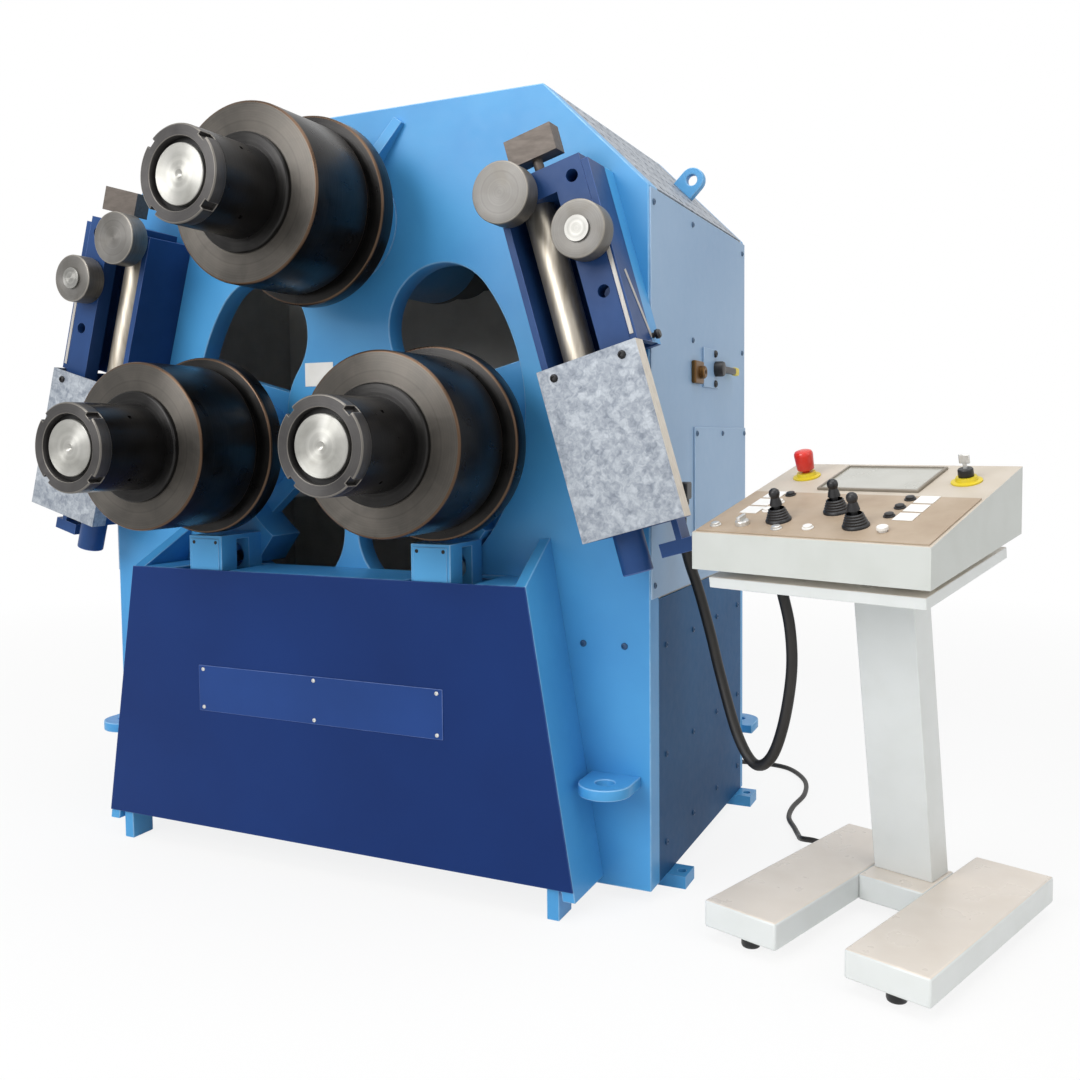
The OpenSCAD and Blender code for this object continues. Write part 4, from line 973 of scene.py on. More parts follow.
@dataclass
class MachineFrame:
    """Plates, covers, lugs and screws of the machine's body."""

    plate_corner: float = 0.003
    sheet_corner: float = 0.0015
    plate_back: float = FACE_Y + 0.060
    rear_front: float = FACE_Y + 0.795
    rear_back: float = FACE_Y + 0.820
    cover_front: float = FACE_Y - 0.172
    cover_split: float = 0.70
    cover_inside: float = 0.79
    cover_outside: float = 0.804
    lower_inside: float = 0.796
    roof_inside: float = 1.8
    floor_band: Pair = (0.04, 0.06)
    face_slack: float = 0.004
    seam_reach: float = 0.020
    sheet: float = 0.003
    # Screw heads and rivets are given by radius and height
    plate_screw_x: Pair = (0.637, 0.738)
    plate_screw_z: float = 0.591
    plate_screw_head: Pair = (0.008, 0.004)
    name_plate: tuple[Pair, Pair] = ((-0.355, 0.361), (0.378, 0.495))
    name_plate_sheet: float = 0.002
    rivet_x: Point = (-0.340, 0.003, 0.346)
    rivet_z: Pair = (0.388, 0.485)
    rivet_head: Pair = (0.005, 0.0025)
    tag: Box = ((-0.132, FACE_Y - 0.0015, 1.202), (-0.045, FACE_Y, 1.262))
    rear_cover: tuple[Pair, Pair] = ((-0.52, 0.52), (0.36, 0.96))
    rear_screw_edge: float = 0.03
    rear_screw_head: Pair = (0.009, 0.005)
    vent_count: int = 6
    vent_first: float = 0.16
    vent_pitch: float = 0.045
    vent_edge: float = 0.12
    vent_length: float = 0.30
    vent_height: float = 0.016
    vent_out: float = 0.012
    lock_y: Pair = (FACE_Y + 0.300, FACE_Y + 0.372)
    lock_z: Pair = (1.196, 1.252)
    lock_depth: float = 0.012
    lock_axis: Pair = (FACE_Y + 0.345, 1.224)
    lock_profile: Profile = (
        (0.016, 0.0), (0.016, 0.009), (0.013, 0.012), (0.006, 0.012), (0.006, 0.006), (0.0, 0.006),
    )

    def inside(self, face: BMFace) -> int:
        """Tells the faces that look into the machine from the painted outer ones.

        Args:
            face: Face of a plate or cover.

        Returns:
            1 for an inner face and 0 for an outer one.
        """
        place = face.calc_center_median()
        normal = face.normal
        low, high = self.floor_band
        side_in = normal.x * place.x < 0 and abs(place.x) > self.cover_inside
        inward = (
            (normal.y > 0.7 and abs(place.y - self.plate_back) < self.face_slack)
            or (normal.y < -0.7 and abs(place.y - self.rear_front) < self.face_slack)
            or (abs(normal.x) > 0.7 and side_in)
            or (normal.z < -0.7 and place.z > self.roof_inside)
            or (normal.z > 0.7 and low < place.z < high)
        )
        return int(inward)

    def cover_rule(self, face: BMFace) -> int:
        """Tells a side cover's inner faces and its lower sheet, which is darkened as painted shade,
        from its upper sheet.

        Args:
            face: Face of a side cover.

        Returns:
            0 for the upper sheet, 1 for an inner face and 2 for the lower sheet's painted shade.
        """
        if self.inside(face):
            return 1
        return 2 if face.calc_center_median().z < self.cover_split else 0

    def build(self) -> None:
        """Dresses the body's plates, covers and fixed inner pieces."""
        enamel = (LIGHT_ENAMEL, INSIDE_PRIMER)
        for node in ("front_plate", "rear_plate", "base_frame", "roof_cover"):
            shell(node, self.plate_corner, "machine_paint", *enamel, rule=self.inside)
        for node in ("lifting_lugs", "front_gussets", "front_shelf", "top_housing"):
            shell(node, self.plate_corner, "machine_paint", LIGHT_ENAMEL)
        # The lower sheets are darkened with painted shade
        covers = (COVER_ENAMEL, INSIDE_PRIMER, SHADED_LOWER_ENAMEL)
        for node in ("left_side_cover", "right_side_cover"):
            shell(node, self.sheet_corner, "cover_paint", *covers, rule=self.cover_rule)
        shell("front_cover", self.sheet_corner, "deep_paint", PANEL_ENAMEL)
        shell("pivot_pin", 0.004, "shaft_steel", MILLED_STEEL)
        shell("lift_cylinders", 0.003, "cylinder_paint", TANK_PAINT)
        carry("slope_grilles", GUARD_ZINC)
        carry("oil_tank", TANK_PAINT)
        for node in ("pump_unit", "top_gearmotor", "left_gearmotor", "right_gearmotor"):
            carry(node, DRIVE_PAINT)
        for node in ("top_bearings", "left_arm_bearings", "right_arm_bearings"):
            carry(node, BEARING_STEEL)
        self.build_screws()
        self.build_plates()
        self.build_lock()
        self.build_rear_cover()
        self.build_seam_strips()

    def build_screws(self) -> None:
        """Makes a socket head for every screw of the CAD model and low on the front plate."""
        model = merged("cover_screws")
        side_heads = []
        guard_heads = []
        for group in islands(model):
            low, high = extent(group)
            size = high - low
            middle = (low + high) / 2
            if size.x < size.y:
                side = Side.of(middle.x)
                edge = low.x if side is Side.RIGHT else high.x
                turn = Matrix.Rotation(side.value * math.pi / 2, 4, "Y")
                head = socket_head(size.z / 2, size.x, spot(edge, middle.y, middle.z, turn))
                # Heads low on the sides take the lower sheets' painted shade
                side_heads.append(tinted(head, int(middle.z < self.cover_split)))
            else:
                seat = spot(middle.x, high.y, middle.z)
                guard_heads.append(socket_head(size.z / 2, size.y, seat))
        model.free()
        paints = (SHADED_UPPER_SCREW, SHADED_LOWER_SCREW)
        nodes = ("cover_screws",)
        piece("cover_screw_heads", joined(side_heads), "screw_steel", *paints, nodes=nodes)
        piece("guard_screw_heads", joined(guard_heads), "screw_steel", BLACK_SCREW)
        # Heads low on the front plate take the same dark painted shade
        seats = [
            spot(side.value * x, FACE_Y, self.plate_screw_z)
            for x in self.plate_screw_x
            for side in Side
        ]
        plate_heads = screws(seats, *self.plate_screw_head)
        piece("plate_screw_heads", plate_heads, "screw_steel", SHADED_LOWER_SCREW)

    def build_plates(self) -> None:
        """Makes the blank name plate on the front cover and the blank tag on the plate."""
        (left, right), (low, high) = self.name_plate
        front = self.cover_front - self.name_plate_sheet
        plate = slab((left, front, low), (right, self.cover_front, high), 0.0012)
        piece("name_plate_blank", plate, "deep_paint", PLATE_ENAMEL)
        seats = [spot(x, front, z) for x in self.rivet_x for z in self.rivet_z]
        piece("name_plate_rivets", screws(seats, *self.rivet_head), "screw_steel", BRIGHT_STEEL)
        piece("rating_tag_blank", slab(*self.tag, 0.001), "white_plastic", WHITE_PLASTIC)

    def build_lock(self) -> None:
        """Makes the brass lock beside the main switch."""
        (front, back), (low, high) = self.lock_y, self.lock_z
        near = self.cover_outside
        far = near + self.lock_depth
        case = slab((near, front, low), (far, back, high), 0.004, 3)
        barrel = turned(self.lock_profile, spot(far, *self.lock_axis, SIDEWAYS), 28)
        piece("side_lock", joined([case, barrel]), "knob_metal", LOCK_BRASS)

    def build_rear_cover(self) -> None:
        """Makes the screwed service cover on the rear plate, with its pressed vents."""
        (left, right), (low, high) = self.rear_cover
        face = self.rear_back + self.sheet
        parts = [slab((left, self.rear_back, low), (right, face, high), 0.0012)]
        for i in range(self.vent_count):
            z = low + self.vent_first + self.vent_pitch * i
            for x in (left + self.vent_edge, right - self.vent_edge - self.vent_length):
                outer = (x + self.vent_length, self.rear_back + self.vent_out, z + self.vent_height)
                vent = block((x, face - 0.0005, z), outer)
                half = z + self.vent_height / 2
                lip = [v for v in vent.verts if v.co.y > face and v.co.z > half]
                bmesh.ops.translate(vent, vec=(0.0, self.sheet - self.vent_out, 0.0), verts=lip)
                parts.append(soften(vent, 0.001))
        piece("rear_service_cover", joined(parts), "machine_paint", LIGHT_ENAMEL)
        edge = self.rear_screw_edge
        columns = (left + edge, (left + right) / 2, right - edge)
        rows = (low + edge, (low + high) / 2, high - edge)
        seats = [
            spot(x, face, z, BACKWARD)
            for x in columns
            for z in rows
            if x != columns[1] or z != rows[1]
        ]
        heads = screws(seats, *self.rear_screw_head)
        piece("rear_cover_screws", heads, "screw_steel", SHADED_UPPER_SCREW)

    def build_seam_strips(self) -> None:
        """Makes the strip behind each side cover's seam, which closes it to the inside."""
        strips = []
        for side in Side:
            outer = side.value * self.lower_inside
            near, far = sorted((outer, outer - side.value * self.sheet))
            low = (near, self.plate_back, self.cover_split - self.seam_reach)
            high = (far, self.rear_front, self.cover_split + self.seam_reach)
            strips.append(slab(low, high, 0.0005))
        piece("cover_seam_strips", joined(strips), "cover_paint", INSIDE_PRIMER)


@dataclass
class RollStack:
    """One roll with its shaft, sleeve and lock nut, by distance in front of the plate."""

    name: str
    x: float
    z: float
    bore: float = 0.0751
    hub_radius: float = 0.130
    flange_radius: float = 0.221
    groove_radius: float = 0.185
    roll_radius: float = 0.198
    sleeve_radius: float = 0.100
    seat: float = 0.075
    hub: float = 0.120
    flange: float = 0.166
    groove: float = 0.190
    face: float = 0.381
    collar: float = 0.393
    sleeve_end: float = 0.5469
    recess: float = 0.562
    rim: float = 0.005
    sleeve_rings: int = 16
    sleeve_gap: float = 0.0001
    # Bar holes: the angles are in degrees from a quarter turn's start
    hole_angle: float = 42.2
    hole_reach: float = 2.9
    hole_rim: float = 0.0012
    hole_depth: float = 0.010

    @property
    def body(self) -> str:
        """CAD body of this roll."""
        return f"{self.name}_roll"

    @property
    def place(self) -> Matrix:
        """Place of the roll's axis on the plate, with +Z forward."""
        return spot(self.x, FACE_Y, self.z)

    def steel(self, kind: str, colour: str, rough: float, metal: float, **more: object) -> Finish:
        """Gives turned steel with its rings about this roll's axis."""
        centre = (self.x, FACE_Y, self.z)
        return TurnedSteel(f"{self.name}_{kind}", colour, rough, metal, centre, **more)

    def build(self) -> None:
        """Makes the roll, sleeve, nut and shaft."""
        # Oiled roll steel, nearly black, with brown worn rims
        oiled = self.steel("oiled_roll_steel", "#2b2a29", 0.3, 0.8, film="#201f1f", worn="#5a4636")
        # Blackened spacer sleeve, smooth and dark
        black = self.steel("blackened_sleeve", "#1c1b1b", 0.3, 0.5, film="#141313", worn="#3d332b")
        # Lock nut, dark phosphated steel
        grey = self.steel("phosphated_nut", "#4c4a49", 0.42, 0.6, film="#3c3a3a", worn="#77736d")
        self.build_roll(oiled)
        self.build_sleeve(black)
        self.build_shaft(oiled, black)
        shell(f"{self.name}_lock_nut", 0.0015, "nut_steel", grey, body=self.body)

    def build_roll(self, oiled: Finish) -> None:
        """Turns the roll with its flange, groove, face and collar.

        Args:
            oiled: Finish of the working surfaces.
        """
        # Front face of a roll, brown-grey and dulled by handling
        faced = self.steel("turned_face", "#57534e", 0.36, 0.8, film="#4a4743", spread=0.8)
        profile = (
            (self.bore, self.seat), (self.hub_radius, self.seat), (self.hub_radius, self.hub),
            (self.flange_radius, self.hub), (self.flange_radius, self.flange),
            (self.groove_radius, self.flange), (self.groove_radius, self.groove),
            (self.roll_radius, self.groove), (self.roll_radius, self.face),
            (self.hub_radius, self.face), (self.hub_radius, self.collar), (self.bore, self.collar),
        )
        bm = smoothed(soften(spun(profile, 96, closed=True), self.rim, 3))
        wear = bm.faces.layers.float["wear"]
        for face in bm.faces:
            middle = face.calc_center_median()
            near_axis = middle.xy.length < self.hub_radius + self.rim
            on_collar = middle.z > self.face - 0.001 and near_axis
            if on_collar:
                face[wear] = 0.0
            front = middle.z > self.face - 0.0001 and face.normal.z > 0.5
            face.material_index = int(front and not on_collar)
        name = f"{self.name}_roll_turned"
        nodes = (f"{self.name}_roll_set",)
        placed(bm, self.place)
        piece(name, bm, "roll_steel", oiled, faced, body=self.body, nodes=nodes)

    def build_sleeve(self, black: Finish) -> None:
        """Turns the spacer sleeve and sinks its bar holes.

        Args:
            black: Finish of the sleeve.
        """
        start = self.collar + self.sleeve_gap
        last = self.sleeve_rings - 1
        rings = [start + i * (self.sleeve_end - start) / last for i in range(self.sleeve_rings)]
        outer = [(self.sleeve_radius, d) for d in rings]
        bm = spun([(self.bore, start), *outer, (self.bore, self.sleeve_end)], 64, closed=True)
        middle = (rings[0] + rings[-1]) / 2
        wanted = []
        for face in bm.faces:
            place = face.calc_center_median()
            angle = math.degrees(math.atan2(place.y, place.x)) % 90
            level = abs(place.z - middle) < 0.001 and face.normal.xy.length > 0.9
            if level and abs(angle - self.hole_angle) < self.hole_reach:
                wanted.append(face)
        bmesh.ops.inset_individual(bm, faces=wanted, thickness=self.hole_rim, depth=0.0)
        pushed = bmesh.ops.extrude_discrete_faces(bm, faces=wanted)
        for face in pushed["faces"]:
            bmesh.ops.translate(bm, vec=-self.hole_depth * face.normal, verts=face.verts)
        placed(smoothed(bm), self.place)
        piece(f"{self.name}_sleeve_turned", bm, "roll_steel", black, body=self.body)

    def build_shaft(self, oiled: Finish, black: Finish) -> None:
        """Turns the shaft with its bright end and the recess round it, whose floor is black as
        painted shade.

        Args:
            oiled: Finish of the seats and journals.
            black: Finish of the recess's floor, the sleeve's black used as painted shade.
        """
        # Bright faced end of the shaft, with coarse rings
        rings = {"ring_mm": 11.0, "ring_depth": 0.5, "spread": 0.85}
        film = {"film": "#96958f", "worn": "#cfcfca"}
        bright = self.steel("faced_shaft_end", "#b4b3ae", 0.34, 0.85, **film, **rings)
        profile = (
            (0.0, 0.565), (0.009, 0.5735), (0.0095, 0.574), (0.0615, 0.574), (0.063, 0.5725),
            (0.063, self.recess), (0.075, self.recess), (0.075, self.seat), (0.110, self.seat),
            (0.110, 0.052), (0.080, 0.052), (0.080, -0.440), (0.060, -0.440), (0.060, -0.540),
            (0.0, -0.540),
        )
        bm = smoothed(spun(profile, 64))
        for face in bm.faces:
            place = face.calc_center_median()
            if place.z > self.recess + 0.0005:
                face.material_index = 1
            # The recess's floor takes the black: painted shade in the gap round the end
            elif place.z > 0.5:
                face.material_index = 2
        placed(bm, self.place)
        name = f"{self.name}_shaft"
        finishes = (oiled, bright, black)
        piece(f"{name}_turned", bm, "shaft_steel", *finishes, body=self.body, nodes=(name,))


@dataclass
class SwingArm:
    """One swing arm with its lift rod."""

    side: Side
    corner: float = 0.003
    paint_end: float = FACE_Y + 0.104
    lug_front: float = FACE_Y - 0.165
    cap_sheet: float = 0.002
    cap_x: Pair = (0.286, 0.374)
    cap_z: Pair = (0.724, 0.818)
    cap_screw_x: Pair = (0.295, 0.365)
    cap_screw_z: Pair = (0.733, 0.809)
    cap_screw_head: Pair = (0.0045, 0.001)

    def inside(self, face: BMFace) -> int:
        """Tells primed inner faces, 1, from painted front ones, 0."""
        return int(face.calc_center_median().y > self.paint_end)

    def build(self) -> None:
        """Dresses the arm, which is painted in front and primed inside, and its rod."""
        label = self.side.label
        arm = f"{label}_arm"
        enamel = (LIGHT_ENAMEL, INSIDE_PRIMER)
        shell(arm, self.corner, "machine_paint", *enamel, body=arm, rule=self.inside)
        self.build_lug_cap(arm)
        shell(f"{label}_lift_rod", 0.002, "rod_chrome", ROD_CHROME, body=f"{label}_lift")

    def build_lug_cap(self, arm: str) -> None:
        """Makes the screwed cap over the lift pin's hole.

        Args:
            arm: Name of the arm's body.
        """
        front = self.lug_front - self.cap_sheet
        (left, right), (low, high) = self.cap_x, self.cap_z
        cap = slab((left, front, low), (right, self.lug_front, high), 0.001)
        seats = [spot(x, front, z) for x in self.cap_screw_x for z in self.cap_screw_z]
        heads = tinted(screws(seats, *self.cap_screw_head), 1)
        bm = placed(joined([cap, heads]), self.side.mirror)
        piece(f"{arm}_pin_cap", bm, "machine_paint", LIGHT_ENAMEL, BLACK_SCREW, body=arm)


@dataclass
class SideGuide:
    """One leaning guide's moving holder with its two rollers, and the beam's trim."""

    side: Side
    lean: float = math.radians(-16)
    origin: Point = (0.770, FACE_Y, 1.053)
    hub_at: Pair = (0.070, 0.438)
    hub_back: float = 0.1547
    hub_profile: Profile = (
        (0.02005, 0.0), (0.061, 0.0), (0.061, 0.052), (0.045, 0.052), (0.02005, 0.052),
    )
    plain_at: Pair = (-0.068, 0.568)
    plain_back: float = 0.173
    plain_profile: Profile = (
        (0.0, 0.0433), (0.02005, 0.0433), (0.02005, 0.0), (0.066, 0.0), (0.066, 0.052),
        (0.045, 0.052), (0.0, 0.052),
    )
    # Limits that tell the holder's rod, pad and pins from its blocks
    rod_across: float = -0.042
    rod_reach: float = 0.02
    rod_top: float = 0.5
    pad_low: float = 0.62
    pin_length: float = 0.09
    pin_front: float = -0.16
    edge_strip: Box = ((0.100, -0.1515, 0.205), (0.109, -0.150, 0.470))
    slant_strip: Box = ((0.114, -0.006, -0.078), (0.1152, 0.006, 0.078))
    slant_at: Point = (0.0, -0.082, 0.275)
    knob_at: Point = (0.114, -0.046, 0.206)
    strip_lean: float = math.radians(21.4)
    knob_profile: Profile = (
        (0.0, 0.0), (0.006, 0.0), (0.006, 0.006), (0.010, 0.008), (0.011, 0.014), (0.008, 0.019),
        (0.0, 0.020),
    )

    @property
    def place(self) -> Matrix:
        """Place of the guide's frame: across, out from the plate and along the beam."""
        right = Matrix.Translation(self.origin) @ Matrix.Rotation(self.lean, 4, "Y")
        return self.side.mirror @ right

    def axis(self, at: Pair) -> Point:
        """Gives a point on the axis of a roller or pin."""
        return tuple(self.place @ Vector((at[0], 0.0, at[1])))

    def build(self) -> None:
        """Dresses the holder and makes the rollers and trim."""
        self.build_holder()
        self.build_roller("hub", self.hub_profile, self.hub_at, self.hub_back)
        self.build_roller("plain", self.plain_profile, self.plain_at, self.plain_back)
        self.build_strips()

    def build_holder(self) -> None:
        """Dresses the holder's blocks, rod, pins and pad."""
        label = self.side.label
        node = f"{label}_guide_holder"
        bm = merged(node)
        back = self.place.inverted()
        for group in islands(bm):
            low, high = extent(group)
            middle = back @ ((low + high) / 2)
            if middle.z > self.pad_low:
                part = HolderPart.PAD
            elif abs(middle.x - self.rod_across) < self.rod_reach and middle.z < self.rod_top:
                part = HolderPart.ROD
            elif (high - low).y < self.pin_length and middle.y < self.pin_front:
                part = HolderPart.PIN
            else:
                part = HolderPart.BLOCK
            for face in group:
                face.material_index = part
        # Bright faced ends of the roller pins, with rings about the one in view
        pin = TurnedSteel(
            f"{label}_faced_pin_end",
            "#9b9a96",
            0.36,
            0.8,
            self.axis(self.hub_at),
            film="#858480",
            worn="#b0afab",
            ring_mm=7.0,
            ring_depth=0.5,
            spread=0.85,
        )
        finishes = (GUIDE_ENAMEL, ROD_CHROME, pin, MILLED_STEEL)
        soften(bm, 0.002)
        piece(f"{node}_dressed", bm, "deep_paint", *finishes, body=f"{label}_guide", nodes=(node,))

    def build_roller(self, kind: str, profile: Profile, at: Pair, back: float) -> None:
        """Turns one of the two rollers.

        Args:
            kind: "hub" for the one whose pin shows, "plain" for the one with a closed face.
            profile: Radius of each point, and its height over the roller's back.
            at: Place across and along the beam.
            back: Distance of the roller's back in front of the plate.
        """
        name = f"{self.side.label}_{kind}"
        # Turned grey steel, dull with handling
        steel = TurnedSteel(
            f"{name}_turned_roller_steel",
            "#716f6c",
            0.42,
            0.6,
            self.axis(at),
            film="#605d58",
            worn="#8f8a82",
            ring_mm=4.0,
        )
        bm = smoothed(soften(spun(profile, 72, closed=profile[0][0] > 0), 0.003, 3))
        placed(bm, self.place @ Matrix.Translation((at[0], -back, at[1])) @ FORWARD)
        node = f"{name}_roller"
        piece(f"{node}_turned", bm, "roller_steel", steel, body=node, nodes=(node,))

    def build_strips(self) -> None:
        """Makes the cream strips of painted highlight on the beam's outer wall and the knob at
        their end.
        """
        edge = slab(*self.edge_strip, 0.0005)
        slant = block(*self.slant_strip)
        lean = Matrix.Rotation(self.strip_lean, 4, "X")
        soften(placed(slant, spot(*self.slant_at, lean)), 0.0005)
        strips = joined([placed(strip, self.place) for strip in (edge, slant)])
        piece(f"{self.side.label}_wear_strips", strips, "zinc_sheet", RAIL_EDGE_HIGHLIGHT)
        seat = self.place @ spot(*self.knob_at, SIDEWAYS)
        knob = turned(self.knob_profile, seat, 24)
        piece(f"{self.side.label}_clamp_knob", knob, "black_plastic", BLACK_NYLON)


@dataclass
class GuideBeams:
    """The fixed beams, cylinders and covers of both side guides."""

    paint_line: float = FACE_Y - 0.055
    outer_wall: float = 0.113
    wall_foot: float = 0.19

    def build(self) -> None:
        """Dresses the beams, cylinders and cover sheets."""
        self.build_beams()
        shell("guide_cylinders", 0.003, "deep_paint", GUIDE_ENAMEL)
        shell("guide_covers", 0.0008, "zinc_sheet", GUARD_ZINC, GUARD_SIDE_HIGHLIGHT, rule=self.edge)

    def edge(self, face: BMFace) -> int:
        """Tells a guard's outer side, 1, which takes a painted highlight, from its front and the
        rest, 0.
        """
        place = SideGuide(Side.of(face.calc_center_median().x)).place
        return int((place.to_3x3().inverted() @ face.normal).x > 0.8)

    def build_beams(self) -> None:
        """Dresses the beams, whose outer walls are painted like the machine at the back."""
        bm = merged("guide_beams")
        bmesh.ops.bisect_plane(
            bm,
            geom=[*bm.verts, *bm.edges, *bm.faces],
            plane_co=(0.0, self.paint_line, 0.0),
            plane_no=(0.0, 1.0, 0.0),
        )
        soften(bm, 0.002)
        back = {side: SideGuide(side).place.inverted() for side in Side}
        for face in bm.faces:
            middle = face.calc_center_median()
            own = back[Side.of(middle.x)] @ middle
            outer = own.x > self.outer_wall and own.z > self.wall_foot
            face.material_index = int(outer and middle.y > self.paint_line)
        node = "guide_beams"
        piece(f"{node}_dressed", bm, "deep_paint", GUIDE_ENAMEL, LIGHT_ENAMEL, nodes=(node,))


@dataclass
class ControlDesk:
    """The free-standing desk with its column, stand and controls."""

    origin: Point = (1.1914, FACE_Y - 0.1965, 0.0)
    turn: float = math.radians(-19.13)
    top_front: Point = (0.0, -0.034, 0.869)
    slope: float = math.radians(17.394)
    plate_top: float = 0.0031
    glide_top: float = 0.0298
    label_rows: tuple[Pair, Pair] = ((0.130, 0.170), (-0.206, -0.166))
    label_start: float = 0.108
    label_length: float = 0.038
    label_pitch: float = 0.046
    label_count: int = 3
    white_at: Sequence[Pair] = ((-0.150, 0.128), (-0.150, 0.175), (-0.012, 0.047))
    black_at: Sequence[Pair] = ((0.116, 0.128), (0.116, 0.174), (0.116, 0.220), (-0.150, 0.222))
    lamps_at: Sequence[Pair] = ((-0.217, 0.035), (-0.075, 0.036))
    stop_at: Pair = (-0.181, 0.346)
    key_at: Pair = (0.180, 0.336)
    start_at: Pair = (0.139, 0.053)
    selector_at: Pair = (-0.160, 0.047)
    joysticks: Sequence[tuple[str, Pair]] = (
        ("left", (-0.095, 0.079)),
        ("middle", (0.0, 0.140)),
        ("right", (0.077, 0.070)),
    )
    screen: Box = ((-0.112, 0.265, 0.0001), (0.112, 0.411, 0.0061))
    screen_rim: float = 0.005
    screen_sunk: float = 0.003
    key_blade: Box = ((-0.004, -0.002, 0.0275), (0.004, 0.002, 0.040))
    key_bow: Box = ((-0.011, -0.0025, 0.0385), (0.011, 0.0025, 0.058))
    selector_grip: Box = ((-0.004, -0.0129, 0.0128), (0.004, 0.0129, 0.0229))
    joystick_ball: float = 0.0136
    boot_folds: int = 5
    cap_profile: Profile = (
        (0.0115, 0.0), (0.0115, 0.002), (0.009, 0.003), (0.009, 0.0062), (0.0075, 0.0071),
        (0.0, 0.0071),
    )
    ring_profile: Profile = (
        (0.0084, 0.0002), (0.030, 0.0002), (0.030, 0.003), (0.022, 0.0045), (0.020, 0.0118),
        (0.0084, 0.0118),
    )
    stop_profile: Profile = (
        (0.0, -0.012), (0.008, -0.012), (0.008, 0.0183), (0.0178, 0.0183), (0.0188, 0.020),
        (0.0200, 0.040), (0.0208, 0.051), (0.0204, 0.0555), (0.0180, 0.0595), (0.0120, 0.0618),
        (0.0, 0.0621),
    )
    key_profile: Profile = (
        (0.0, -0.012), (0.008, -0.012), (0.008, 0.0123), (0.0145, 0.0123), (0.015, 0.0135),
        (0.015, 0.0262), (0.0135, 0.0282), (0.006, 0.0282), (0.0, 0.0282),
    )
    grip_profile: Profile = (
        (0.006, 0.0150), (0.006, 0.034), (0.0125, 0.036), (0.0105, 0.045), (0.0085, 0.052),
        (0.0105, 0.057), (0.0110, 0.0615), (0.0095, 0.0665), (0.005, 0.0703), (0.0, 0.0709),
    )
    start_profile: Profile = (
        (0.0, -0.008), (0.008, -0.008), (0.008, 0.007), (0.011, 0.007), (0.011, 0.0125),
        (0.0097, 0.0138), (0.0, 0.0139),
    )
    selector_profile: Profile = (
        (0.0, -0.008), (0.008, -0.008), (0.008, 0.0033), (0.014, 0.0033), (0.014, 0.011),
        (0.0125, 0.0132), (0.0, 0.0133),
    )

    @property
    def place(self) -> Matrix:
        """Place of the stand's front, with +Y to the back of the desk."""
        return Matrix.Translation(self.origin) @ Matrix.Rotation(self.turn, 4, "Z")

    @property
    def top(self) -> Matrix:
        """Place of the sloping top's front edge."""
        slope = Matrix.Rotation(self.slope, 4, "X")
        return self.place @ Matrix.Translation(self.top_front) @ slope

    def on_top(self, at: Pair, height: float = 0.0) -> Matrix:
        """Gives a place on the sloping top, by its distances across, up the slope and off it."""
        return self.top @ Matrix.Translation((*at, height))

    def coat_rule(self, face: BMFace) -> int:
        """Tells the glides and the upward faces from the coated sheet.

        Args:
            face: Face of the stand, column or desk.

        Returns:
            0 for coated sheet, 1 for a glide and 2 for an upward face, which on the stand and
            column is painted warm light.
        """
        if face.calc_center_median().z < self.glide_top:
            return 1
        return 2 if face.normal.z > 0.8 else 0

    def build(self) -> None:
        """Dresses the housing and makes the controls."""
        # The stand's upward faces take a painted warm light
        stand = (STAND_COAT, BLACK_NYLON, STAND_TOP_WARM_LIGHT)
        desk = (DESK_COAT, BLACK_NYLON, DESK_FOIL)
        for node, finishes, width in (
            ("console_base", stand, 0.005),
            ("console_column", stand, 0.004),
            ("console_desk", desk, 0.005),
        ):
            shell(node, width, "desk_paint", *finishes, rule=self.coat_rule)
        self.build_panel()
        self.build_screen()
        self.build_fixed_buttons()
        self.build_boots()
        self.build_stop()
        self.build_key()
        for name, at in self.joysticks:
            self.build_joystick(name, at)
        self.build_start()
        self.build_selector()

    def build_panel(self) -> None:
        """Dresses the control plate with its foil and makes the blank label plates."""
        node = "control_panel"
        bm = merged(node)
        groups = sorted(islands(bm), key=lambda g: max(extent(g)[1] - extent(g)[0]))
        rest = [face for group in groups[:-1] for face in group]
        bmesh.ops.delete(bm, geom=rest, context="FACES")
        piece("control_plate", soften(bm, 0.001), "panel_sheet", PANEL_FOIL, nodes=(node,))
        labels = []
        for left, right in self.label_rows:
            for i in range(self.label_count):
                near = self.label_start + i * self.label_pitch
                label = slab((left, near, 0.0), (right, near + self.label_length, 0.002), 0.0008)
                labels.append(placed(label, self.on_top((0.0, 0.0), self.plate_top)))
        piece("labels_blank", joined(labels), "white_plastic", WHITE_PLASTIC)

    def build_screen(self) -> None:
        """Makes the display's frame and its sunken glass."""
        frame = slab(*self.screen, 0.0015)
        top = max(frame.faces, key=lambda f: f.calc_center_median().z)
        bmesh.ops.inset_region(frame, faces=[top], thickness=self.screen_rim, depth=0.0)
        bmesh.ops.inset_region(frame, faces=[top], thickness=0.001, depth=-self.screen_sunk)
        top.material_index = 1
        placed(frame, self.top)
        piece("display", frame, "panel_sheet", SCREEN_FRAME, SCREEN_GLASS)

    def build_fixed_buttons(self) -> None:
        """Makes the lamps and push buttons that don't move."""
        base = self.plate_top + 0.0001
        for name, spots, slot, finish in (
            ("push_buttons_white", self.white_at, "white_plastic", WHITE_PLASTIC),
            ("push_buttons_black", self.black_at, "black_plastic", BLACK_NYLON),
            ("lamp_bezels", self.lamps_at, "knob_metal", BRIGHT_STEEL),
        ):
            caps = [turned(self.cap_profile, self.on_top(at, base), 24) for at in spots]
            piece(name, joined(caps), slot, finish)

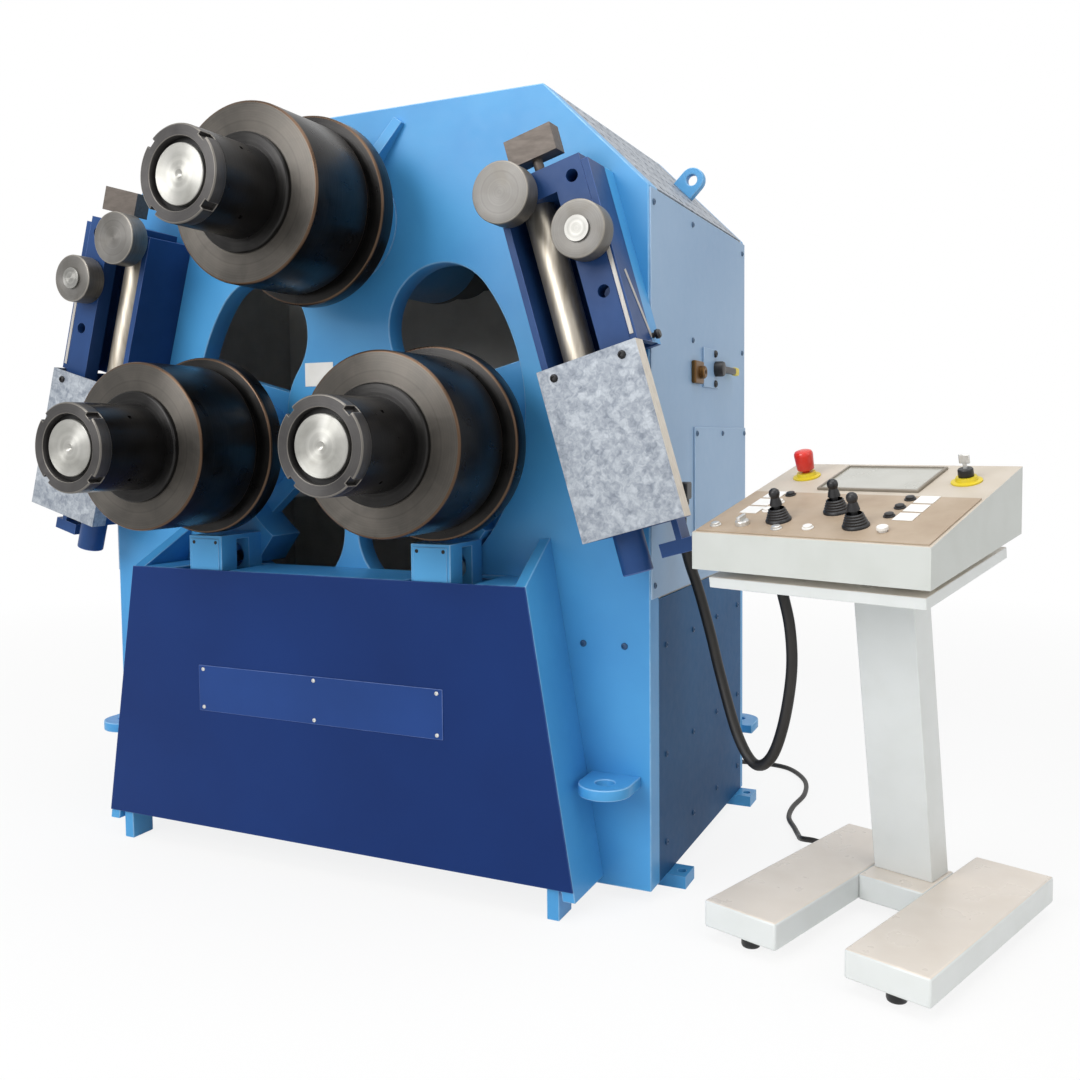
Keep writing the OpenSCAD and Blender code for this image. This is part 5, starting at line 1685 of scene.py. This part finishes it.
    def build_boots(self) -> None:
        """Makes the folded boots of the joysticks and the yellow rings of two switches."""
        folds = [(0.026, 0.0001), (0.026, 0.003)]
        for i in range(self.boot_folds):
            share = i / (self.boot_folds - 1)
            radius = 0.025 - 0.0075 * share
            height = 0.005 + 0.0195 * share
            folds.extend([(radius, height), (radius - 0.0025, height + 0.002)])
        folds.extend([(0.0152, 0.0262), (0.0152, 0.0002)])
        boots = [turned(folds, self.on_top(at, self.plate_top), 36) for _, at in self.joysticks]
        piece("joystick_boots", joined(boots), "black_plastic", BLACK_NYLON)
        spots = (self.stop_at, self.key_at)
        rings = [turned(self.ring_profile, self.on_top(at), 40) for at in spots]
        piece("switch_rings", joined(rings), "panel_sheet", YELLOW_PLASTIC)

    def build_stop(self) -> None:
        """Makes the red mushroom button."""
        bm = turned(self.stop_profile, self.on_top(self.stop_at), 40)
        piece("stop_button", bm, "red_plastic", RED_PLASTIC, body="e_stop", nodes=("e_stop",))

    def build_key(self) -> None:
        """Makes the key switch with its key."""
        place = self.on_top(self.key_at)
        barrel = turned(self.key_profile, place)
        blade = slab(*self.key_blade, 0.0006)
        bow = slab(*self.key_bow, 0.0022, 3)
        key = [placed(tinted(part, 1), place) for part in (blade, bow)]
        node = "key_switch"
        finishes = (BLACK_NYLON, BRIGHT_STEEL)
        bm = joined([barrel, *key])
        piece(f"{node}_turned", bm, "black_plastic", *finishes, body=node, nodes=(node,))

    def build_joystick(self, name: str, at: Pair) -> None:
        """Makes a joystick's ball, stem and grip.

        Args:
            name: Which of the three it is.
            at: Distances across from the desk's middle and up the slope.
        """
        ball = self.joystick_ball
        turns = [math.radians(a) for a in range(0, 151, 15)]
        arc = [(ball * math.sin(a), 0.0015 - ball * math.cos(a)) for a in turns]
        bm = turned([*arc, *self.grip_profile], self.on_top(at))
        node = f"{name}_joystick"
        piece(f"{node}_grip", bm, "black_plastic", BLACK_NYLON, body=node, nodes=(node,))

    def build_start(self) -> None:
        """Makes the sprung start button."""
        bm = turned(self.start_profile, self.on_top(self.start_at))
        node = "start_button"
        piece(f"{node}_cap", bm, "white_plastic", WHITE_PLASTIC, body=node, nodes=(node,))

    def build_selector(self) -> None:
        """Makes the selector knob with its grip bar."""
        place = self.on_top(self.selector_at)
        knob = turned(self.selector_profile, place)
        grip = slab(*self.selector_grip, 0.0018, 3)
        bm = joined([knob, placed(grip, place)])
        node = "selector_knob"
        piece(f"{node}_turned", bm, "knob_metal", BRIGHT_STEEL, body=node, nodes=(node,))


@dataclass
class MainSwitch:
    """The main switch with its long lever on the right side."""

    y: float = FACE_Y + 0.497
    z: float = 1.240
    base: float = 0.8103
    lever: float = 0.168
    plate: float = 0.810
    cap_step: float = 0.039
    knob_profile: Profile = (
        (0.0, -0.0163), (0.010, -0.0163), (0.010, 0.0), (0.020, 0.0), (0.020, 0.018),
        (0.018, 0.0225), (0.012, 0.024), (0.0, 0.024),
    )

    def build(self) -> None:
        """Makes the knob, lever and yellow lever end, and the caps beside them."""
        x, y, z = self.base, self.y, self.z
        tip = y + self.lever
        knob = turned(self.knob_profile, spot(x, y, z, SIDEWAYS), 40)
        arm = slab((x + 0.0065, y, z - 0.009), (x + 0.0195, tip - 0.03, z + 0.009), 0.004, 3)
        end = slab((x + 0.006, tip - 0.040, z - 0.011), (x + 0.020, tip, z + 0.011), 0.005, 3)
        bm = joined([knob, arm, tinted(end, 1)])
        node = "main_switch"
        finishes = (BLACK_NYLON, YELLOW_PLASTIC)
        piece(f"{node}_lever", bm, "black_plastic", *finishes, body=node, nodes=(node,))
        steps = (-self.cap_step, self.cap_step)
        seats = [spot(self.plate, y - 0.006, z + step, SIDEWAYS) for step in steps]
        piece(f"{node}_caps", screws(seats, 0.0095, 0.006), "black_plastic", BLACK_NYLON)


@dataclass
class Studio:
    """White floor, soft lamps and a white surround."""

    floor_half: float = 14.0
    fill: float = 0.5
    shadow_reach: Pair = (2.2, 5.0)
    floor_glow: float = 0.85
    # Name, place, target, side of the square and power of each lamp
    lamps: Sequence[tuple[str, Point, Point, float, float]] = (
        ("key_lamp", (-1.6, -5.8, 3.6), (0.0, -0.4, 1.0), 3.2, 212),
        ("side_lamp", (5.0, -2.0, 3.4), (0.6, 0.0, 0.9), 2.6, 30),
        ("top_lamp", (1.2, -1.6, 5.2), (0.8, -0.6, 0.0), 3.6, 110),
    )

    def build(self) -> None:
        """Makes the floor, world and lamps."""
        self.build_floor()
        self.build_world()
        for row in self.lamps:
            self.lamp(*row)

    def seen(self, tree: bpy.types.NodeTree) -> Socket:
        """Finds the rays that show the background: camera, glossy and transmission.

        Args:
            tree: Node tree of the floor or the world.

        Returns:
            1 for those rays and 0 for the rest.
        """
        path = add(tree, "LightPath").outputs
        found = path["Is Camera Ray"]
        for kind in ("Is Glossy Ray", "Is Transmission Ray"):
            found = add(tree, "Math", {0: found, 1: path[kind]}, operation="MAXIMUM").outputs[0]
        return found

    def build_floor(self) -> None:
        """Makes a plain pale floor that keeps the object's shadow."""
        bm = bmesh.new()
        bmesh.ops.create_grid(bm, x_segments=1, y_segments=1, size=self.floor_half)
        mesh = bpy.data.meshes.new("floor")
        bm.to_mesh(mesh)
        bm.free()
        paper = bpy.data.materials.new("paper_floor")
        paper.use_nodes = True
        tree = paper.node_tree
        shader = tree.nodes["Principled BSDF"]
        shader.inputs["Base Color"].default_value = linear("#f3f3f1")
        shader.inputs["Roughness"].default_value = 0.9
        glow = add(tree, "Emission", {"Color": linear("#ffffff"), "Strength": 1.0})
        # The floor keeps the shadow near the object and fades into the surround
        place = add(tree, "TexCoord").outputs["Object"]
        away = add(tree, "VectorMath", {0: place}, operation="LENGTH").outputs["Value"]
        near, far = self.shadow_reach
        fade = {"Value": away, 1: near, 2: far, 3: self.floor_glow, 4: 1.0}
        level = add(tree, "MapRange", fade).outputs[0]
        share = add(tree, "Math", {0: self.seen(tree), 1: level}, operation="MULTIPLY").outputs[0]
        mix = add(tree, "MixShader", {0: share, 1: shader.outputs[0], 2: glow.outputs[0]})
        tree.links.new(mix.outputs[0], tree.nodes["Material Output"].inputs["Surface"])
        mesh.materials.append(paper)
        floor = bpy.data.objects.new("floor", mesh)
        bpy.context.scene.collection.objects.link(floor)

    def build_world(self) -> None:
        """Makes a surround that looks white and gives a soft fill."""
        world = bpy.data.worlds.new("studio")
        bpy.context.scene.world = world
        world.use_nodes = True
        tree = world.node_tree
        back = tree.nodes["Background"]
        back.inputs["Color"].default_value = linear("#ffffff")
        power = add(tree, "MapRange", {"Value": self.seen(tree), 3: self.fill, 4: 1.0})
        tree.links.new(power.outputs[0], back.inputs["Strength"])

    def lamp(self, name: str, place: Point, target: Point, size: float, watts: float) -> None:
        """Adds a square soft lamp.

        Args:
            name: Name of the lamp.
            place: Where it stands.
            target: Point that it faces.
            size: Side of the square.
            watts: Its power.
        """
        light = bpy.data.lights.new(name, "AREA")
        light.size = size
        light.energy = watts
        made = bpy.data.objects.new(name, light)
        made.location = place
        aim = Vector(target) - Vector(place)
        made.rotation_euler = aim.to_track_quat("-Z", "Y").to_euler()
        bpy.context.scene.collection.objects.link(made)


@dataclass
class PhotoCamera:
    """The camera at the photograph's place."""

    place: Point = (1.5921, -2.7375, 1.0644)
    yaw: float = math.radians(25.0)
    pitch: float = math.radians(-3.404)
    roll: float = math.radians(-0.559)
    lens: float = 36.004
    shift: Pair = (0.0, -0.03496)

    def build(self) -> None:
        """Makes the camera and sets it as the scene's."""
        level = math.cos(self.pitch)
        sine, cosine = math.sin(self.yaw), math.cos(self.yaw)
        ahead = Vector((-sine * level, cosine * level, math.sin(self.pitch)))
        right = Vector((cosine, sine, 0.0))
        up = right.cross(ahead)
        tilted = math.cos(self.roll) * right + math.sin(self.roll) * up
        upward = math.cos(self.roll) * up - math.sin(self.roll) * right
        data = bpy.data.cameras.new("photo_camera")
        data.sensor_width = 36.0
        data.lens = self.lens
        data.shift_x, data.shift_y = self.shift
        data.clip_end = 60.0
        made = bpy.data.objects.new("photo_camera", data)
        turn = Matrix((tilted, upward, -ahead)).transposed().to_4x4()
        made.matrix_world = Matrix.Translation(self.place) @ turn
        bpy.context.scene.collection.objects.link(made)
        bpy.context.scene.camera = made


def main() -> None:
    """Builds the studio, the machine, the desk and the cables."""
    logging.basicConfig(level=logging.INFO, format="%(name)s: %(message)s")
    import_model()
    bpy.context.scene.view_settings.view_transform = "Standard"
    PhotoCamera().build()
    desk = ControlDesk()
    CableSet().build(desk.place)
    Studio().build()
    MachineFrame().build()
    for name, x, z in (
        ("top", 0.0, 1.604),
        ("left", -0.33421, 1.05284),
        ("right", 0.33421, 1.05284),
    ):
        RollStack(name, x, z).build()
    GuideBeams().build()
    for side in Side:
        SwingArm(side).build()
        SideGuide(side).build()
    desk.build()
    MainSwitch().build()
    bpy.context.view_layer.update()


if __name__ == "__main__":
    main()
